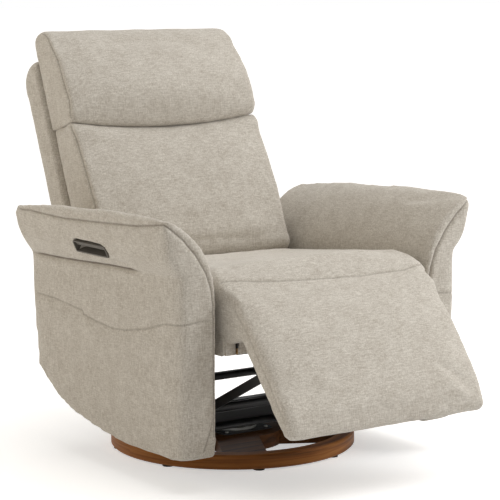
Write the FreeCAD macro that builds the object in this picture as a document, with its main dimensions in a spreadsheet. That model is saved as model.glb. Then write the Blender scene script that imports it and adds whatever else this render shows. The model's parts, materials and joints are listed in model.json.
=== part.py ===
import FreeCAD, Part
import math
import os

import Sketcher
from FreeCAD import Placement, Rotation, Vector

# Swivel glider recliner, millimetres. +Z is up, the sitter faces -Y, and the origin is on the swivel axis at the floor.
# The pose drawn is the one seen most: the back leans a little and the footrest is part open.

DIMENSIONS = {
    # wooden base
    "ring_radius": 309, "ring_width": 35, "ring_height": 36, "ring_edge": 4,
    "hub_radius": 125, "spoke_width": 108, "cross_turn": 29,
    "foot_radius": 14, "foot_height": 4, "foot_count": 8,
    # swivel bearing, from the hub upwards
    "base_plate_side": 150, "base_plate_thick": 3, "base_screw_spacing": 120,
    "race_inner": 44, "race_outer": 60, "race_height": 6, "cage_height": 2.7, "race_gap": 0.3,
    "swivel_plate_width": 220, "swivel_plate_length": 200, "swivel_plate_thick": 4, "swivel_plate_shift": 20,
    # glide towers and swing links
    "bar_side": 25, "bar_wall": 2, "bar_spread": 100, "glide_middle": 40, "glide_half": 110,
    "glide_top": 235, "swing_length": 110, "link_thick": 4, "swing_eye": 12, "glide_pin": 5,
    "tower_inner": 215, "swing_inner": 222, "running_gap": 0.05,
    # chassis
    "arm_inner": 312, "plate_thick": 4, "rail_inner": 228, "rail_depth": 30,
    "chassis_tube": 11, "chassis_tube_wall": 2, "chassis_tube_front": -118, "chassis_tube_rear": 205,
    "slot_height": 295, "slot_front": -100, "slot_rear": 150, "slot_forward": 52, "slot_back": 20,
    "slide_pin": 5.5, "slot_clear": 0.5,
    # upholstered arms
    "arm_front": 387, "arm_rear": 312, "arm_outer": 418, "arm_bottom": 74, "horn_start": 450,
    "horn_seam": 505, "horn_tip": 460, "horn_height": 645, "horn_rear_height": 601,
    # release lever recess, in the outer face of the right arm
    "lever_length": 146, "lever_recess": 30, "lever_depth": 30, "lever_middle": -50, "lever_height": 536,
    "lever_outer": 445, "lever_tilt": 25, "bezel_wall": 3, "fabric_over": 15,
    # seat
    "seat_front": 384, "seat_rear": 195, "seat_rail_inner": 260, "seat_rail_outer": 288,
    "seat_rail_bottom": 315, "seat_rail_top": 375, "cushion_bottom": 380, "seat_half": 306,
    "seat_top_front": 500, "seat_top_rear": 447, "seat_crown": 10, "seat_brow": 300, "cushion_rear": 215,
    # back, measured from its pivot
    "back_pivot_back": 255, "back_pivot_height": 400, "back_lean": 22, "stud_rise": 100, "stud_radius": 4,
    "back_half": 280, "back_shell_rear": 85, "back_shell_front": 6, "soft_gap": 0.3, "back_height": 606, "back_drop": 45,
    "headrest_seam": 404, "headrest_top": 656, "back_cushion_depth": 105, "back_crown": 25,
    "seat_plate_inner": 291, "pivot_radius": 6,
    # footrest, measured from its hinge
    "hinge_front": 395, "hinge_height": 405, "footrest_turn": 40, "nose_radius": 58, "nose_gap": 2,
    "pad_offset": 9, "board_thick": 12, "pad_length": 339, "pad_half": 294, "pad_crown": 8, "pad_swell": 9,
    "footrest_plate_outer": 260, "hinge_eye": 8.5, "hinge_pin": 4,
    # footrest drive, a parallelogram with the hinge and the lug of the footrest arm
    "drive_front": 190, "drive_height": 300, "lug_along": 150, "lug_behind": 20, "drive_eye": 12,
    "drive_pin": 5, "drive_tube": 10,
}

UP = Vector(0, 0, 1)
ACROSS = Vector(1, 0, 0)
NODES = []


def fill_sheet(doc):
    """Put the driving dimensions in the sheet, one named cell each."""
    sheet = doc.addObject("Spreadsheet::Sheet", "dims")
    for row, (name, value) in enumerate(DIMENSIONS.items(), start=1):
        sheet.set(f"A{row}", name)
        sheet.set(f"B{row}", str(value))
        sheet.setAlias(f"B{row}", name)
    doc.recompute()
    return sheet


doc = FreeCAD.newDocument("recliner")
dims = fill_sheet(doc)


def size(expression):
    """Value of an expression on the sheet's names, such as 'hub_radius * 2'."""
    return float(dims.evalExpression(named(expression)))


def named(expression):
    """Write dims. before every name of the sheet in an expression."""
    words = str(expression).replace("(", " ( ").replace(")", " ) ").split()
    return " ".join("dims." + word if word in DIMENSIONS else word for word in words)


def minus(expression):
    return f"0 - ( {expression} )"


def bind(obj, target, expression):
    obj.setExpression(target, named(expression))


def keep(obj, label):
    """Name a finished sub-part and list it for export."""
    obj.Label = label
    NODES.append(obj)
    return obj


def new_body(name):
    return doc.addObject("PartDesign::Body", name)


def new_sketch(body, role, name="outline"):
    sketch = body.newObject("Sketcher::SketchObject", name)
    plane = next(item for item in body.Origin.OriginFeatures if item.Role == role)
    sketch.AttachmentSupport = [(plane, "")]
    sketch.MapMode = "FlatFace"
    return sketch


def pin_point(sketch, edge, point, across, along):
    """Hold one sketch point at two expressions from the origin."""
    for kind, expression in (("DistanceX", across), ("DistanceY", along)):
        index = sketch.addConstraint(Sketcher.Constraint(kind, -1, 1, edge, point, size(expression)))
        bind(sketch, f"Constraints[{index}]", expression)


def draw_polygon(sketch, corners):
    """Closed outline through corners given as pairs of expressions."""
    places = [Vector(size(across), size(along), 0) for across, along in corners]
    count = len(places)
    lines = [Part.LineSegment(places[i], places[(i + 1) % count]) for i in range(count)]
    edges = [sketch.addGeometry(line) for line in lines]
    for i in range(count):
        sketch.addConstraint(Sketcher.Constraint("Coincident", edges[i], 2, edges[(i + 1) % count], 1))
    for edge, (across, along) in zip(edges, corners):
        pin_point(sketch, edge, 1, across, along)


def draw_circle(sketch, across, along, radius):
    circle = Part.Circle(Vector(size(across), size(along), 0), UP, size(radius))
    edge = sketch.addGeometry(circle)
    pin_point(sketch, edge, 3, across, along)
    index = sketch.addConstraint(Sketcher.Constraint("Radius", edge, size(radius)))
    bind(sketch, f"Constraints[{index}]", radius)


def draw_slot(sketch, start, end, radius, upright=False):
    """Round-ended slot between two points, along the first axis or, when upright, along the second."""
    a = Vector(size(start[0]), size(start[1]), 0)
    b = Vector(size(end[0]), size(end[1]), 0)
    r = size(radius)
    turn = math.pi / 2 if upright else 0
    side = Vector(-r, 0, 0) if upright else Vector(0, r, 0)
    first = sketch.addGeometry(Part.ArcOfCircle(Part.Circle(a, UP, r), math.pi / 2 + turn, 1.5 * math.pi + turn))
    low = sketch.addGeometry(Part.LineSegment(a - side, b - side))
    last = sketch.addGeometry(Part.ArcOfCircle(Part.Circle(b, UP, r), turn - math.pi / 2, turn + math.pi / 2))
    high = sketch.addGeometry(Part.LineSegment(b + side, a + side))
    for one, two in ((first, low), (low, last), (last, high), (high, first)):
        sketch.addConstraint(Sketcher.Constraint("Tangent", one, 2, two, 1))
    sketch.addConstraint(Sketcher.Constraint("Equal", first, last))
    index = sketch.addConstraint(Sketcher.Constraint("Radius", first, r))
    bind(sketch, f"Constraints[{index}]", radius)
    pin_point(sketch, first, 3, *start)
    along, across = ("DistanceY", "Vertical") if upright else ("DistanceX", "Horizontal")
    value = end[1] if upright else end[0]
    index = sketch.addConstraint(Sketcher.Constraint(along, -1, 1, last, 3, size(value)))
    bind(sketch, f"Constraints[{index}]", value)
    sketch.addConstraint(Sketcher.Constraint(across, first, 3, last, 3))


def pad(body, sketch, length, middle=False):
    feature = body.newObject("PartDesign::Pad", "Pad")
    feature.Profile = sketch
    bind(feature, "Length", length)
    feature.Midplane = middle
    sketch.Visibility = False
    doc.recompute()
    return feature


def pocket(body, sketch):
    """Cut a sketch through the whole body, both ways."""
    before = body.Shape.Volume
    feature = body.newObject("PartDesign::Pocket", "Pocket")
    feature.Profile = sketch
    feature.Type = "ThroughAll"
    feature.Midplane = True
    doc.recompute()
    if body.Shape.Volume > before - 1e-6:
        raise RuntimeError(f"a pocket of {body.Label} cut nothing")
    return feature


def fillet(body, base, edges, radius):
    feature = body.newObject("PartDesign::Fillet", "Fillet")
    feature.Base = (base, edges)
    bind(feature, "Radius", radius)
    doc.recompute()
    return feature


def edges_along(shape, direction, choose=lambda middle: True):
    """Names of straight edges that run along a direction and whose middle is chosen."""
    names = []
    for number, edge in enumerate(shape.Edges, start=1):
        if not isinstance(edge.Curve, Part.Line):
            continue
        middle = (edge.Vertexes[0].Point + edge.Vertexes[-1].Point) * 0.5
        if edge.Curve.Direction.cross(direction).Length < 1e-6 and choose(middle):
            names.append(f"Edge{number}")
    return names


def plate(name, corners, thick, inner, side, eyes=(), bores=(), slots=(), corner_round=None, turn=0, at=(0, 0)):
    """Sheet metal plate in an upright plane. Its inner face is at inner, on one side of the chair."""
    body = new_body(name)
    sketch = new_sketch(body, "YZ_Plane")
    draw_polygon(sketch, corners)
    feature = pad(body, sketch, thick)
    if corner_round:
        feature = fillet(body, feature, edges_along(feature.Shape, ACROSS), corner_round)
    for across, along, radius in eyes:
        sketch = new_sketch(body, "YZ_Plane", "eye")
        draw_circle(sketch, across, along, radius)
        pad(body, sketch, thick)
    if bores or slots:
        sketch = new_sketch(body, "YZ_Plane", "openings")
        for across, along, radius in bores:
            draw_circle(sketch, across, along, radius)
        for start, end, radius, upright in slots:
            draw_slot(sketch, start, end, radius, upright)
        pocket(body, sketch)
    place_plate(body, thick, inner, side, turn, at)
    return keep(body, name)


def place_plate(body, thick, inner, side, turn=0, at=(0, 0)):
    """Seat a plate drawn from X = 0 at its place across the chair, turned about X by turn degrees."""
    start = size(inner) if side > 0 else -size(inner) - size(thick)
    body.Placement = Placement(Vector(start, size(at[0]), size(at[1])), Rotation(ACROSS, turn))


def link(name, length, thick, eye, bore, inner, side, turn, at):
    """Flat link with a round eye at each end, drawn along -Z and turned about X."""
    body = new_body(name)
    sketch = new_sketch(body, "YZ_Plane")
    draw_slot(sketch, ("0", minus(length)), ("0", "0"), eye, upright=True)
    pad(body, sketch, thick)
    sketch = new_sketch(body, "YZ_Plane", "bores")
    draw_circle(sketch, "0", "0", bore)
    draw_circle(sketch, "0", minus(length), bore)
    pocket(body, sketch)
    place_plate(body, thick, inner, side, turn, at)
    return keep(body, name)


def cylinder(radius, length, base, direction=ACROSS):
    """Round bar, its length bound to the sheet."""
    part = doc.addObject("Part::Cylinder", "Cylinder")
    bind(part, "Radius", radius)
    bind(part, "Height", length)
    part.Placement = Placement(base, Rotation(UP, direction))
    return part


def box(length, width, height, corner):
    part = doc.addObject("Part::Box", "Box")
    bind(part, "Length", length)
    bind(part, "Width", width)
    bind(part, "Height", height)
    part.Placement = Placement(corner, Rotation())
    return part


def fuse(parts, name="Fusion"):
    result = doc.addObject("Part::MultiFuse", name)
    result.Shapes = parts
    return result


def cut(base, tool, name="Cut"):
    result = doc.addObject("Part::Cut", name)
    result.Base = base
    result.Tool = tool
    return result


def tube(radius, wall, length, base, name):
    outside = cylinder(radius, length, base)
    inside = cylinder(f"{radius} - {wall}", length, base)
    return cut(outside, inside, name)


def headed_pin(radius, head, inner, outer, head_thick, side, y, z):
    """Pin across the chair with a head at both ends, between two distances from the middle."""
    start = Vector(side * size(inner), y, z)
    last = Vector(side * (size(outer) - size(head_thick)), y, z)
    direction = ACROSS * side
    shank = cylinder(radius, f"{outer} - ( {inner} )", start, direction)
    heads = [cylinder(head, head_thick, place, direction) for place in (start, last)]
    return fuse([shank] + heads, "Pin")


def made(shape, name, placement=None):
    """Sub-part whose shape is worked out here from the sheet."""
    feature = doc.addObject("Part::Feature", name)
    feature.Shape = shape
    if placement:
        feature.Placement = placement
    return feature


def curve(start, middle, end):
    """Arc through three points, or a straight edge where there is no middle or the three are in line."""
    if middle is None or (middle - start).cross(end - start).Length < 0.02 * (end - start).Length:
        return Part.LineSegment(start, end).toShape()
    return Part.Arc(start, middle, end).toShape()


def section(points, x):
    """Closed wire in the upright plane at x, from corners and arcs. A third entry is the middle of an arc there."""
    edges = []
    count = len(points)
    for i, point in enumerate(points):
        start = Vector(x, point[0], point[1])
        after = points[(i + 1) % count]
        end = Vector(x, after[0], after[1])
        middle = Vector(x, point[2], point[3]) if len(point) == 4 else None
        edges.append(curve(start, middle, end))
    return Part.Wire(edges)


def swept_arc(centre, radius, start, end):
    """Start, middle and end of an arc about a centre, angles in degrees from +Y towards +Z."""
    spots = []
    for angle in (start, (start + end) / 2, end):
        turn = math.radians(angle)
        spots.append((centre[0] + radius * math.cos(turn), centre[1] + radius * math.sin(turn)))
    return spots


def loft(wires):
    """Solid through closed wires, its faces turned outwards."""
    solid = Part.makeLoft(wires, True, True)
    if solid.Volume < 0:
        solid.reverse()
    return solid


def stations(half, edge, crown):
    """Places across a soft piece: distance from the middle, how far it is drawn in there, and how much it is crowned.

    The last stretch at each side, as wide as edge, is rounded like a quarter circle.
    """
    inside = half - edge
    places = [0, inside / 3, inside * 2 / 3, inside, half - edge * 0.5, half - edge / 6, half]
    rows = []
    for x in [-place for place in places[:0:-1]] + places:
        part = max(0, abs(x) - inside) / edge
        rows.append((x, edge * (1 - math.sqrt(max(0, 1 - part * part))), crown * (1 - (x / half) ** 2)))
    return rows


def padded(outline, half, edge, crown):
    """Soft piece lofted across the chair. outline gives its section for an amount drawn in and an amount of crown."""
    return loft([section(outline(draw_in, rise), x) for x, draw_in, rise in stations(half, edge, crown)])


# Base

def make_base():
    """Bent ring, hub disc, four spokes between them, and the floor glides."""
    ring = new_body("base_ring")
    sketch = new_sketch(ring, "XZ_Plane")
    inner, outer = "ring_radius - ring_width", "ring_radius"
    low, high = "foot_height", "foot_height + ring_height"
    draw_polygon(sketch, [(inner, low), (outer + " - ring_edge", low), (outer, low + " + ring_edge"),
                          (outer, high + " - ring_edge"), (outer + " - ring_edge", high), (inner, high)])
    turned = ring.newObject("PartDesign::Revolution", "Revolution")
    turned.Profile = sketch
    turned.ReferenceAxis = (sketch, ["V_Axis"])
    turned.Angle = 360
    doc.recompute()
    keep(ring, "base_ring")

    hub = new_body("base_hub")
    sketch = new_sketch(hub, "XY_Plane")
    draw_circle(sketch, "0", "0", "hub_radius")
    pad(hub, sketch, "ring_height")
    sketch = new_sketch(hub, "XY_Plane", "screw_holes")
    half = "base_screw_spacing * 0.5"
    for across in (half, minus(half)):
        for along in (half, minus(half)):
            draw_circle(sketch, across, along, "2.5")
    pocket(hub, sketch)
    hub.Placement = Placement(Vector(0, 0, size("foot_height")), Rotation())
    keep(hub, "base_hub")

    floor = Vector(0, 0, size("foot_height"))
    boards = []
    for turn in (0, 90):
        board = box("ring_radius * 2", "spoke_width", "ring_height", Vector())
        middle = Vector(-size("ring_radius"), -size("spoke_width * 0.5"), size("foot_height"))
        spin = Rotation(UP, 90 + size("cross_turn") * -1 + turn)
        board.Placement = Placement(spin.multVec(Vector(middle.x, middle.y, 0)) + floor, spin)
        boards.append(board)
    annulus = cut(cylinder("ring_radius - ring_width", "ring_height", floor, UP),
                  cylinder("hub_radius", "ring_height", floor, UP))
    spokes = doc.addObject("Part::MultiCommon", "base_spokes")
    spokes.Shapes = [fuse(boards), annulus]
    keep(spokes, "base_spokes")

    feet = [cylinder("foot_radius * 2", "foot_height", Vector(), UP)]
    reach = size("ring_radius - ring_width * 0.5")
    for number in range(int(size("foot_count"))):
        turn = 2 * math.pi * (number + 0.5) / size("foot_count")
        spot = Vector(reach * math.cos(turn), reach * math.sin(turn), 0)
        feet.append(cylinder("foot_radius", "foot_height", spot, UP))
    keep(fuse(feet), "floor_glides")


def make_swivel():
    """Lower plate with its screws, ball bearing races and cage, and the plate that turns."""
    top = size("foot_height + ring_height")
    lower = new_body("swivel_lower_plate")
    sketch = new_sketch(lower, "XY_Plane")
    half = "base_plate_side * 0.5"
    draw_polygon(sketch, [(minus(half), minus(half)), (half, minus(half)), (half, half), (minus(half), half)])
    sheet = pad(lower, sketch, "base_plate_thick")
    fillet(lower, sheet, edges_along(sheet.Shape, UP), "15")
    holes = new_sketch(lower, "XY_Plane", "holes")
    reach = "base_screw_spacing * 0.5"
    for across in (reach, minus(reach)):
        for along in (reach, minus(reach)):
            draw_circle(holes, across, along, "2.5")
    pocket(lower, holes)
    lower.Placement = Placement(Vector(0, 0, top), Rotation())
    keep(lower, "swivel_lower_plate")

    screws = []
    plate_top = top + size("base_plate_thick")
    spot = size("base_screw_spacing * 0.5")
    for x in (spot, -spot):
        for y in (spot, -spot):
            screws.append(cylinder("2.4", "24", Vector(x, y, plate_top - 24), UP))
            screws.append(cylinder("5", "3", Vector(x, y, plate_top), UP))
    keep(fuse(screws), "base_screws")

    def race(name, bottom, height, inner, outer):
        start = Vector(0, 0, bottom)
        return keep(cut(cylinder(outer, height, start, UP), cylinder(inner, height, start, UP)), name)

    race("bearing_lower_race", plate_top, "race_height", "race_inner", "race_outer")
    cage = plate_top + size("race_height")
    race("bearing_cage", cage, "cage_height", "race_inner + 3", "race_outer - 3")
    upper = cage + size("cage_height + race_gap")
    race("bearing_upper_race", upper, "race_height", "race_inner", "race_outer")

    swivel = new_body("swivel_upper_plate")
    sketch = new_sketch(swivel, "XY_Plane")
    wide = "swivel_plate_width * 0.5"
    front = "swivel_plate_shift - swivel_plate_length * 0.5"
    rear = "swivel_plate_shift + swivel_plate_length * 0.5"
    draw_polygon(sketch, [(minus(wide), front), (wide, front), (wide, rear), (minus(wide), rear)])
    sheet = pad(swivel, sketch, "swivel_plate_thick")
    fillet(swivel, sheet, edges_along(sheet.Shape, UP), "18")
    swivel.Placement = Placement(Vector(0, 0, upper + size("race_height")), Rotation())
    keep(swivel, "swivel_upper_plate")
    return upper + size("race_height + swivel_plate_thick")


# Glide

def make_carriage(floor):
    """Two cross bars and the towers that the swing links hang from."""
    bars = []
    for shift in ("bar_spread * 0.5", "bar_spread * -0.5"):
        y = size("glide_middle") + size(shift) - size("bar_side * 0.5")
        corner = Vector(-size("tower_inner"), y, floor)
        wall = size("bar_wall")
        outside = box("tower_inner * 2", "bar_side", "bar_side", corner)
        inside = box("tower_inner * 2", "bar_side - bar_wall * 2", "bar_side - bar_wall * 2",
                     corner + Vector(0, wall, wall))
        bars.append(cut(outside, inside))
    keep(fuse(bars), "carriage_bars")

    stem = "glide_middle - 62", "glide_middle + 62"
    reach = "glide_middle - glide_half", "glide_middle + glide_half"
    base = str(round(floor, 3))
    corners = [(stem[0], base), (stem[1], base), ("glide_middle + 45", "glide_top - 75"),
               (reach[1] + " + 14", "glide_top - 14"), (reach[1] + " + 14", "glide_top + 14"),
               (reach[0] + " - 14", "glide_top + 14"), (reach[0] + " - 14", "glide_top - 14"),
               ("glide_middle - 45", "glide_top - 75")]
    bores = [(spot, "glide_top", "glide_pin") for spot in reach]
    window = [("glide_middle", "glide_top - 60", "26")]
    for side, word in ((-1, "right"), (1, "left")):
        plate(f"glide_tower_{word}", corners, "link_thick", "tower_inner", side,
              bores=bores + window, corner_round="7")

    heads = []
    for side in (-1, 1):
        for y in (size(reach[0]), size(reach[1])):
            heads.append(headed_pin("glide_pin", "8", "tower_inner - 2.5", "swing_inner + link_thick + 2", "1.8",
                                    side, y, size("glide_top")))
    keep(fuse(heads), "glide_pins_upper")


def make_swing_links():
    """Front and rear pairs of hanging links, straight down at rest."""
    for place, spot in (("front", "glide_middle - glide_half"), ("rear", "glide_middle + glide_half")):
        for side, word in ((-1, "right"), (1, "left")):
            link(f"swing_link_{place}_{word}", "swing_length", "link_thick", "swing_eye",
                 "glide_pin + running_gap", "swing_inner", side, 0, (spot, "glide_top"))


def make_glide_rails():
    """Low rails that hang from the links, with their pins and the cross tubes through them."""
    low = "glide_top - swing_length"
    spots = "glide_middle - glide_half", "glide_middle + glide_half"
    corners = [("chassis_tube_front - 24", low + " - rail_depth * 0.5"),
               ("chassis_tube_rear + 24", low + " - rail_depth * 0.5"),
               ("chassis_tube_rear + 24", low + " + rail_depth * 0.5"),
               ("chassis_tube_front - 24", low + " + rail_depth * 0.5")]
    bores = [(spot, low, "glide_pin") for spot in spots]
    bores += [(spot, low, "chassis_tube") for spot in ("chassis_tube_front", "chassis_tube_rear")]
    for side, word in ((-1, "right"), (1, "left")):
        plate(f"glide_rail_{word}", corners, "link_thick", "rail_inner", side, bores=bores, corner_round="8")
    pins = []
    for side in (-1, 1):
        for spot in spots:
            pins.append(headed_pin("glide_pin", "8", "swing_inner - 2.2", "rail_inner + link_thick + 2.5", "1.9",
                                   side, size(spot), size(low)))
    keep(fuse(pins), "glide_pins_lower")
    for place in ("front", "rear"):
        start = Vector(-size("arm_inner - plate_thick"), size(f"chassis_tube_{place}"), size(low))
        keep(tube("chassis_tube", "chassis_tube_wall", "( arm_inner - plate_thick ) * 2", start, "Tube"),
             f"chassis_tube_{place}")


# Chassis

def make_chassis_plates():
    """Side plates bolted to the arms, with the seat's slots and the upright slot that guides the back."""
    low = "glide_top - swing_length"
    stud = "back_pivot_height + stud_rise"
    corners = [("chassis_tube_front - 30", low + " - 22"), ("chassis_tube_rear + 30", low + " - 22"),
               ("back_pivot_back + 20", "slot_height - 60"), ("back_pivot_back + 22", stud + " + 16"),
               ("back_pivot_back - 18", stud + " + 16"), ("back_pivot_back - 20", "slot_height + 40"),
               ("slot_rear + 30", "slot_height + 20"), ("slot_front - slot_forward - 20", "slot_height + 20"),
               ("slot_front - slot_forward - 20", "slot_height - 30")]
    slots = [((f"{spot} - slot_forward", "slot_height"), (f"{spot} + slot_back", "slot_height"),
              "slide_pin + slot_clear", False) for spot in ("slot_front", "slot_rear")]
    slots.append((("back_pivot_back", stud + " - 14"), ("back_pivot_back", stud + " + 2"),
                  "stud_radius + 2.5", True))
    window = [("0", "slot_height - 95", "34"), ("105", "slot_height - 95", "34")]
    for side, word in ((-1, "right"), (1, "left")):
        plate(f"chassis_plate_{word}", corners, "plate_thick", "arm_inner - plate_thick", side,
              bores=window, slots=slots, corner_round="12")


def horn_points(outer, tip, height, bottom):
    """Corners of an arm's cross-section, as distances from the chair's middle and heights.

    The inner face rises straight and then bends outwards to the tip in one arc. The roll drops from the tip, bulges
    and tucks in at the seam, and the outer panel goes straight down from there.
    """
    inner = size("arm_inner")
    start = size("horn_start")
    run, rise = tip - 7 - inner, height - start
    radius = (run * run + rise * rise) / (2 * run)
    half_turn = math.asin(rise / radius) / 2
    middle = (inner + radius - radius * math.cos(half_turn), start + radius * math.sin(half_turn))
    seam = size("horn_seam") - (size("horn_height") - height) * 0.3
    return [(inner, bottom), (inner, start) + middle, (tip - 7, height, tip - 1, height - 6),
            (tip + 2, height - 20, tip + 2, height - 38), (tip - 3, height - 58, (tip + outer) / 2 + 10, seam + 38),
            (outer + 6, seam + 3, outer + 1, seam), (outer, seam - 6), (outer, bottom)]


def across_section(points, side, y):
    """Closed wire in the plane at y from the points of an arm's cross-section."""
    edges = []
    count = len(points)
    for i, point in enumerate(points):
        after = points[(i + 1) % count]
        start = Vector(side * point[0], y, point[1])
        end = Vector(side * after[0], y, after[1])
        middle = Vector(side * point[2], y, point[3]) if len(point) == 4 else None
        edges.append(curve(start, middle, end))
    return Part.Wire(edges)


def arm_outline():
    """Side outline of an arm as a block right across the chair: flat front, curved bottom, rear edge leaning in."""
    front, rear, low = -size("arm_front"), size("arm_rear"), size("arm_bottom")
    reach = size("horn_tip * 1.5")
    points = [(front - 3, 700), (front - 3, low + 22, front + 1, low + 9), (front + 12, low + 3, -270, low - 2),
              (-150, low, -30, low + 12), (90, low + 36, rear - 110, low + 82), (rear - 44, 205), (rear + 3, 520),
              (rear + 3, 700)]
    block = Part.Face(section(points, -reach)).extrude(ACROSS * (reach * 2))
    if block.Volume < 0:
        block.reverse()
    return block


def make_arm(side, word):
    """Upholstered arm: a loft of horn-shaped sections, trimmed to the side outline, round its plywood frame."""
    front, rear = size("arm_front"), size("arm_rear")
    outer, tip = size("arm_outer"), size("horn_tip")
    high, low = size("horn_height"), size("horn_rear_height")
    rows = [(-front, outer - 34, tip - 22, high - 3), (4 - front, outer - 20, tip - 13, high - 1),
            (14 - front, outer - 9, tip - 6, high), (38 - front, outer - 2, tip - 2, high),
            (-120, outer, tip, high - 2), (90, outer, tip - 4, (high + low) / 2 + 3),
            (rear - 32, outer - 3, tip - 8, low + 3), (rear - 12, outer - 12, tip - 16, low),
            (rear, outer - 28, tip - 30, low - 6)]
    wires = [across_section(horn_points(*spot[1:], 40), side, spot[0]) for spot in rows]
    whole = made(loft(wires).common(arm_outline()), "Arm")

    board = new_body(f"arm_frame_{word}")
    sketch = new_sketch(board, "YZ_Plane")
    draw_polygon(sketch, [("0 - arm_front + 60", "arm_bottom + 50"), ("60", "arm_bottom + 56"),
                          ("arm_rear - 90", "arm_bottom + 130"), ("arm_rear - 60", "horn_seam - 40"),
                          ("arm_rear - 60", "horn_seam + 40"), ("0 - arm_front + 60", "horn_seam + 60")])
    sheet = pad(board, sketch, "18")
    fillet(board, sheet, edges_along(sheet.Shape, ACROSS), "20")
    place_plate(board, "18", "arm_inner + 30", side)
    keep(board, f"arm_frame_{word}")

    tool = board
    if side < 0:
        tool = fuse([board, made(recess_solid(size("fabric_over")), "Recess", recess_placement())])
    keep(cut(whole, tool), f"arm_{word}")


def recess_placement():
    """Place of the lever recess: across its mouth is local X, along the arm is Y, and outwards is Z."""
    tilt = size("lever_tilt")
    spot = Vector(-size("lever_outer"), size("lever_middle"), size("lever_height"))
    return Placement(spot, Rotation(Vector(0, 1, 0), -90 - tilt))


def recess_solid(beyond=0):
    """Rounded block of the recess, from its floor to its mouth and as far beyond it as asked."""
    wide, length, deep = size("lever_recess"), size("lever_length"), size("lever_depth")
    solid = Part.makeBox(wide, length, deep + beyond, Vector(-wide / 2, -length / 2, -deep))
    return solid.makeFillet(4, [edge for edge in solid.Edges if abs(edge.tangentAt(0).z) > 0.9])


def make_lever():
    """Dark recess let into the right arm, and the paddle that is pulled outwards in it."""
    wide, length, deep = size("lever_recess"), size("lever_length"), size("lever_depth")
    wall = size("bezel_wall")
    corner = Vector(wall - wide / 2, wall - length / 2, wall - deep)
    hollow = Part.makeBox(wide - 2 * wall, length - 2 * wall, deep, corner)
    keep(made(recess_solid().cut(hollow), "lever_bezel", recess_placement()), "lever_bezel")

    paddle = length - 2 * wall - 12
    hinge = wide / 2 - wall - 4
    blade = Part.makeBox(8, paddle, 4, Vector(hinge - 6, -paddle / 2, -9))
    blade = blade.makeFillet(1.5, [edge for edge in blade.Edges if abs(edge.tangentAt(0).y) > 0.9])
    barrel = Part.makeCylinder(3, paddle, Vector(hinge, -paddle / 2, -7), Vector(0, 1, 0))
    keep(made(blade.fuse(barrel).removeSplitter(), "release_lever", recess_placement()), "release_lever")


def make_chassis_bolts():
    """Bolts that hold the side plates to the arms."""
    heads = []
    for side in (-1, 1):
        for y, z in ((-135, 150), (-60, 265), (195, 265), (190, 160)):
            start = Vector(side * (size("arm_inner - plate_thick") - 3), y, z)
            heads.append(cylinder("6", "3", start, ACROSS * side))
    keep(fuse(heads), "chassis_bolts")


# Seat

def make_seat_frame():
    """Wooden rails, webbing over them, black cloth under them and the fabric border round them."""
    front, rear = "seat_front", "seat_rear"
    height = "seat_rail_top - seat_rail_bottom"
    low = size("seat_rail_bottom")
    rails = []
    for side in (-1, 1):
        x = size("seat_rail_inner") if side > 0 else -size("seat_rail_outer")
        rails.append(box("seat_rail_outer - seat_rail_inner", f"{front} + {rear}", height,
                         Vector(x, -size(front), low)))
    inner = size("seat_rail_inner")
    rails.append(box("seat_rail_inner * 2", "20", height, Vector(-inner, size(rear) - 20, low)))
    rails.append(box("( seat_rail_inner - plate_thick ) * 2", "20", height,
                     Vector(-size("seat_rail_inner - plate_thick"), -size(front), low)))
    keep(fuse(rails), "seat_frame")

    straps = []
    top = size("seat_rail_top")
    for x in (-170, -60, 60, 170):
        straps.append(box("50", f"{front} + {rear}", "2", Vector(x - 25, -size(front), top)))
    for y in (-300, -190, -80, 30, 130):
        straps.append(box("seat_rail_outer * 2", "50", "2", Vector(-size("seat_rail_outer"), y - 25, top + 2)))
    keep(fuse(straps), "seat_webbing")

    cloth = size("seat_rail_inner - plate_thick - 1")
    keep(box("( seat_rail_inner - plate_thick - 1 ) * 2", f"{front} + {rear}", "1.5",
             Vector(-cloth, -size(front), low - 1.5)), "dust_cover")

    half = size("seat_rail_outer")
    thick = 2.5
    sides = []
    for side in (-1, 1):
        body = new_body("BorderSide")
        sketch = new_sketch(body, "YZ_Plane")
        draw_polygon(sketch, [(f"0 - {front}", "cushion_bottom"), (f"0 - {front}", "seat_rail_bottom - 3"),
                              (rear, "seat_rail_bottom - 3"), (rear, "cushion_bottom")])
        sheet = pad(body, sketch, "2.5")
        fillet(body, sheet, edges_along(sheet.Shape, ACROSS, lambda spot: spot.y < 0 and spot.z < 350), "14")
        body.Placement = Placement(Vector(half if side > 0 else -half - thick, 0, 0), Rotation())
        sides.append(body)
    sides.append(box("( seat_rail_inner - 16 ) * 2", "1.5", "cushion_bottom - seat_rail_bottom",
                     Vector(-size("seat_rail_inner - 16"), -size("seat_front") - 1.5, size("seat_rail_bottom"))))
    keep(fuse(sides), "seat_border")


def make_seat_cushion():
    """Seat cushion, rounded over its front and hollowed there for the end of the footrest to turn under it."""
    low, rear = size("cushion_bottom"), size("cushion_rear")
    hinge = (-size("hinge_front"), size("hinge_height"))
    clear = size("nose_radius + nose_gap")
    foot, middle, lip = swept_arc(hinge, clear, math.degrees(math.asin((low - hinge[1]) / clear)), 96.5)
    brow = -size("seat_brow")

    def outline(draw_in, rise):
        front = size("seat_top_front") - draw_in * 0.9 + rise
        back = size("seat_top_rear") - draw_in * 0.9 + rise * 0.3
        return [(rear - draw_in, low), foot + middle, lip, (lip[0], lip[1] + 2, lip[0] + 22, front - 12),
                (brow, front - 3, brow / 2 - 10, (front + back) / 2 + 12), (rear - 70, back, rear - 20, back - 9),
                (rear - draw_in, back - 34)]

    keep(made(padded(outline, size("seat_half"), 26, size("seat_crown")), "seat_cushion"), "seat_cushion")


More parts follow.
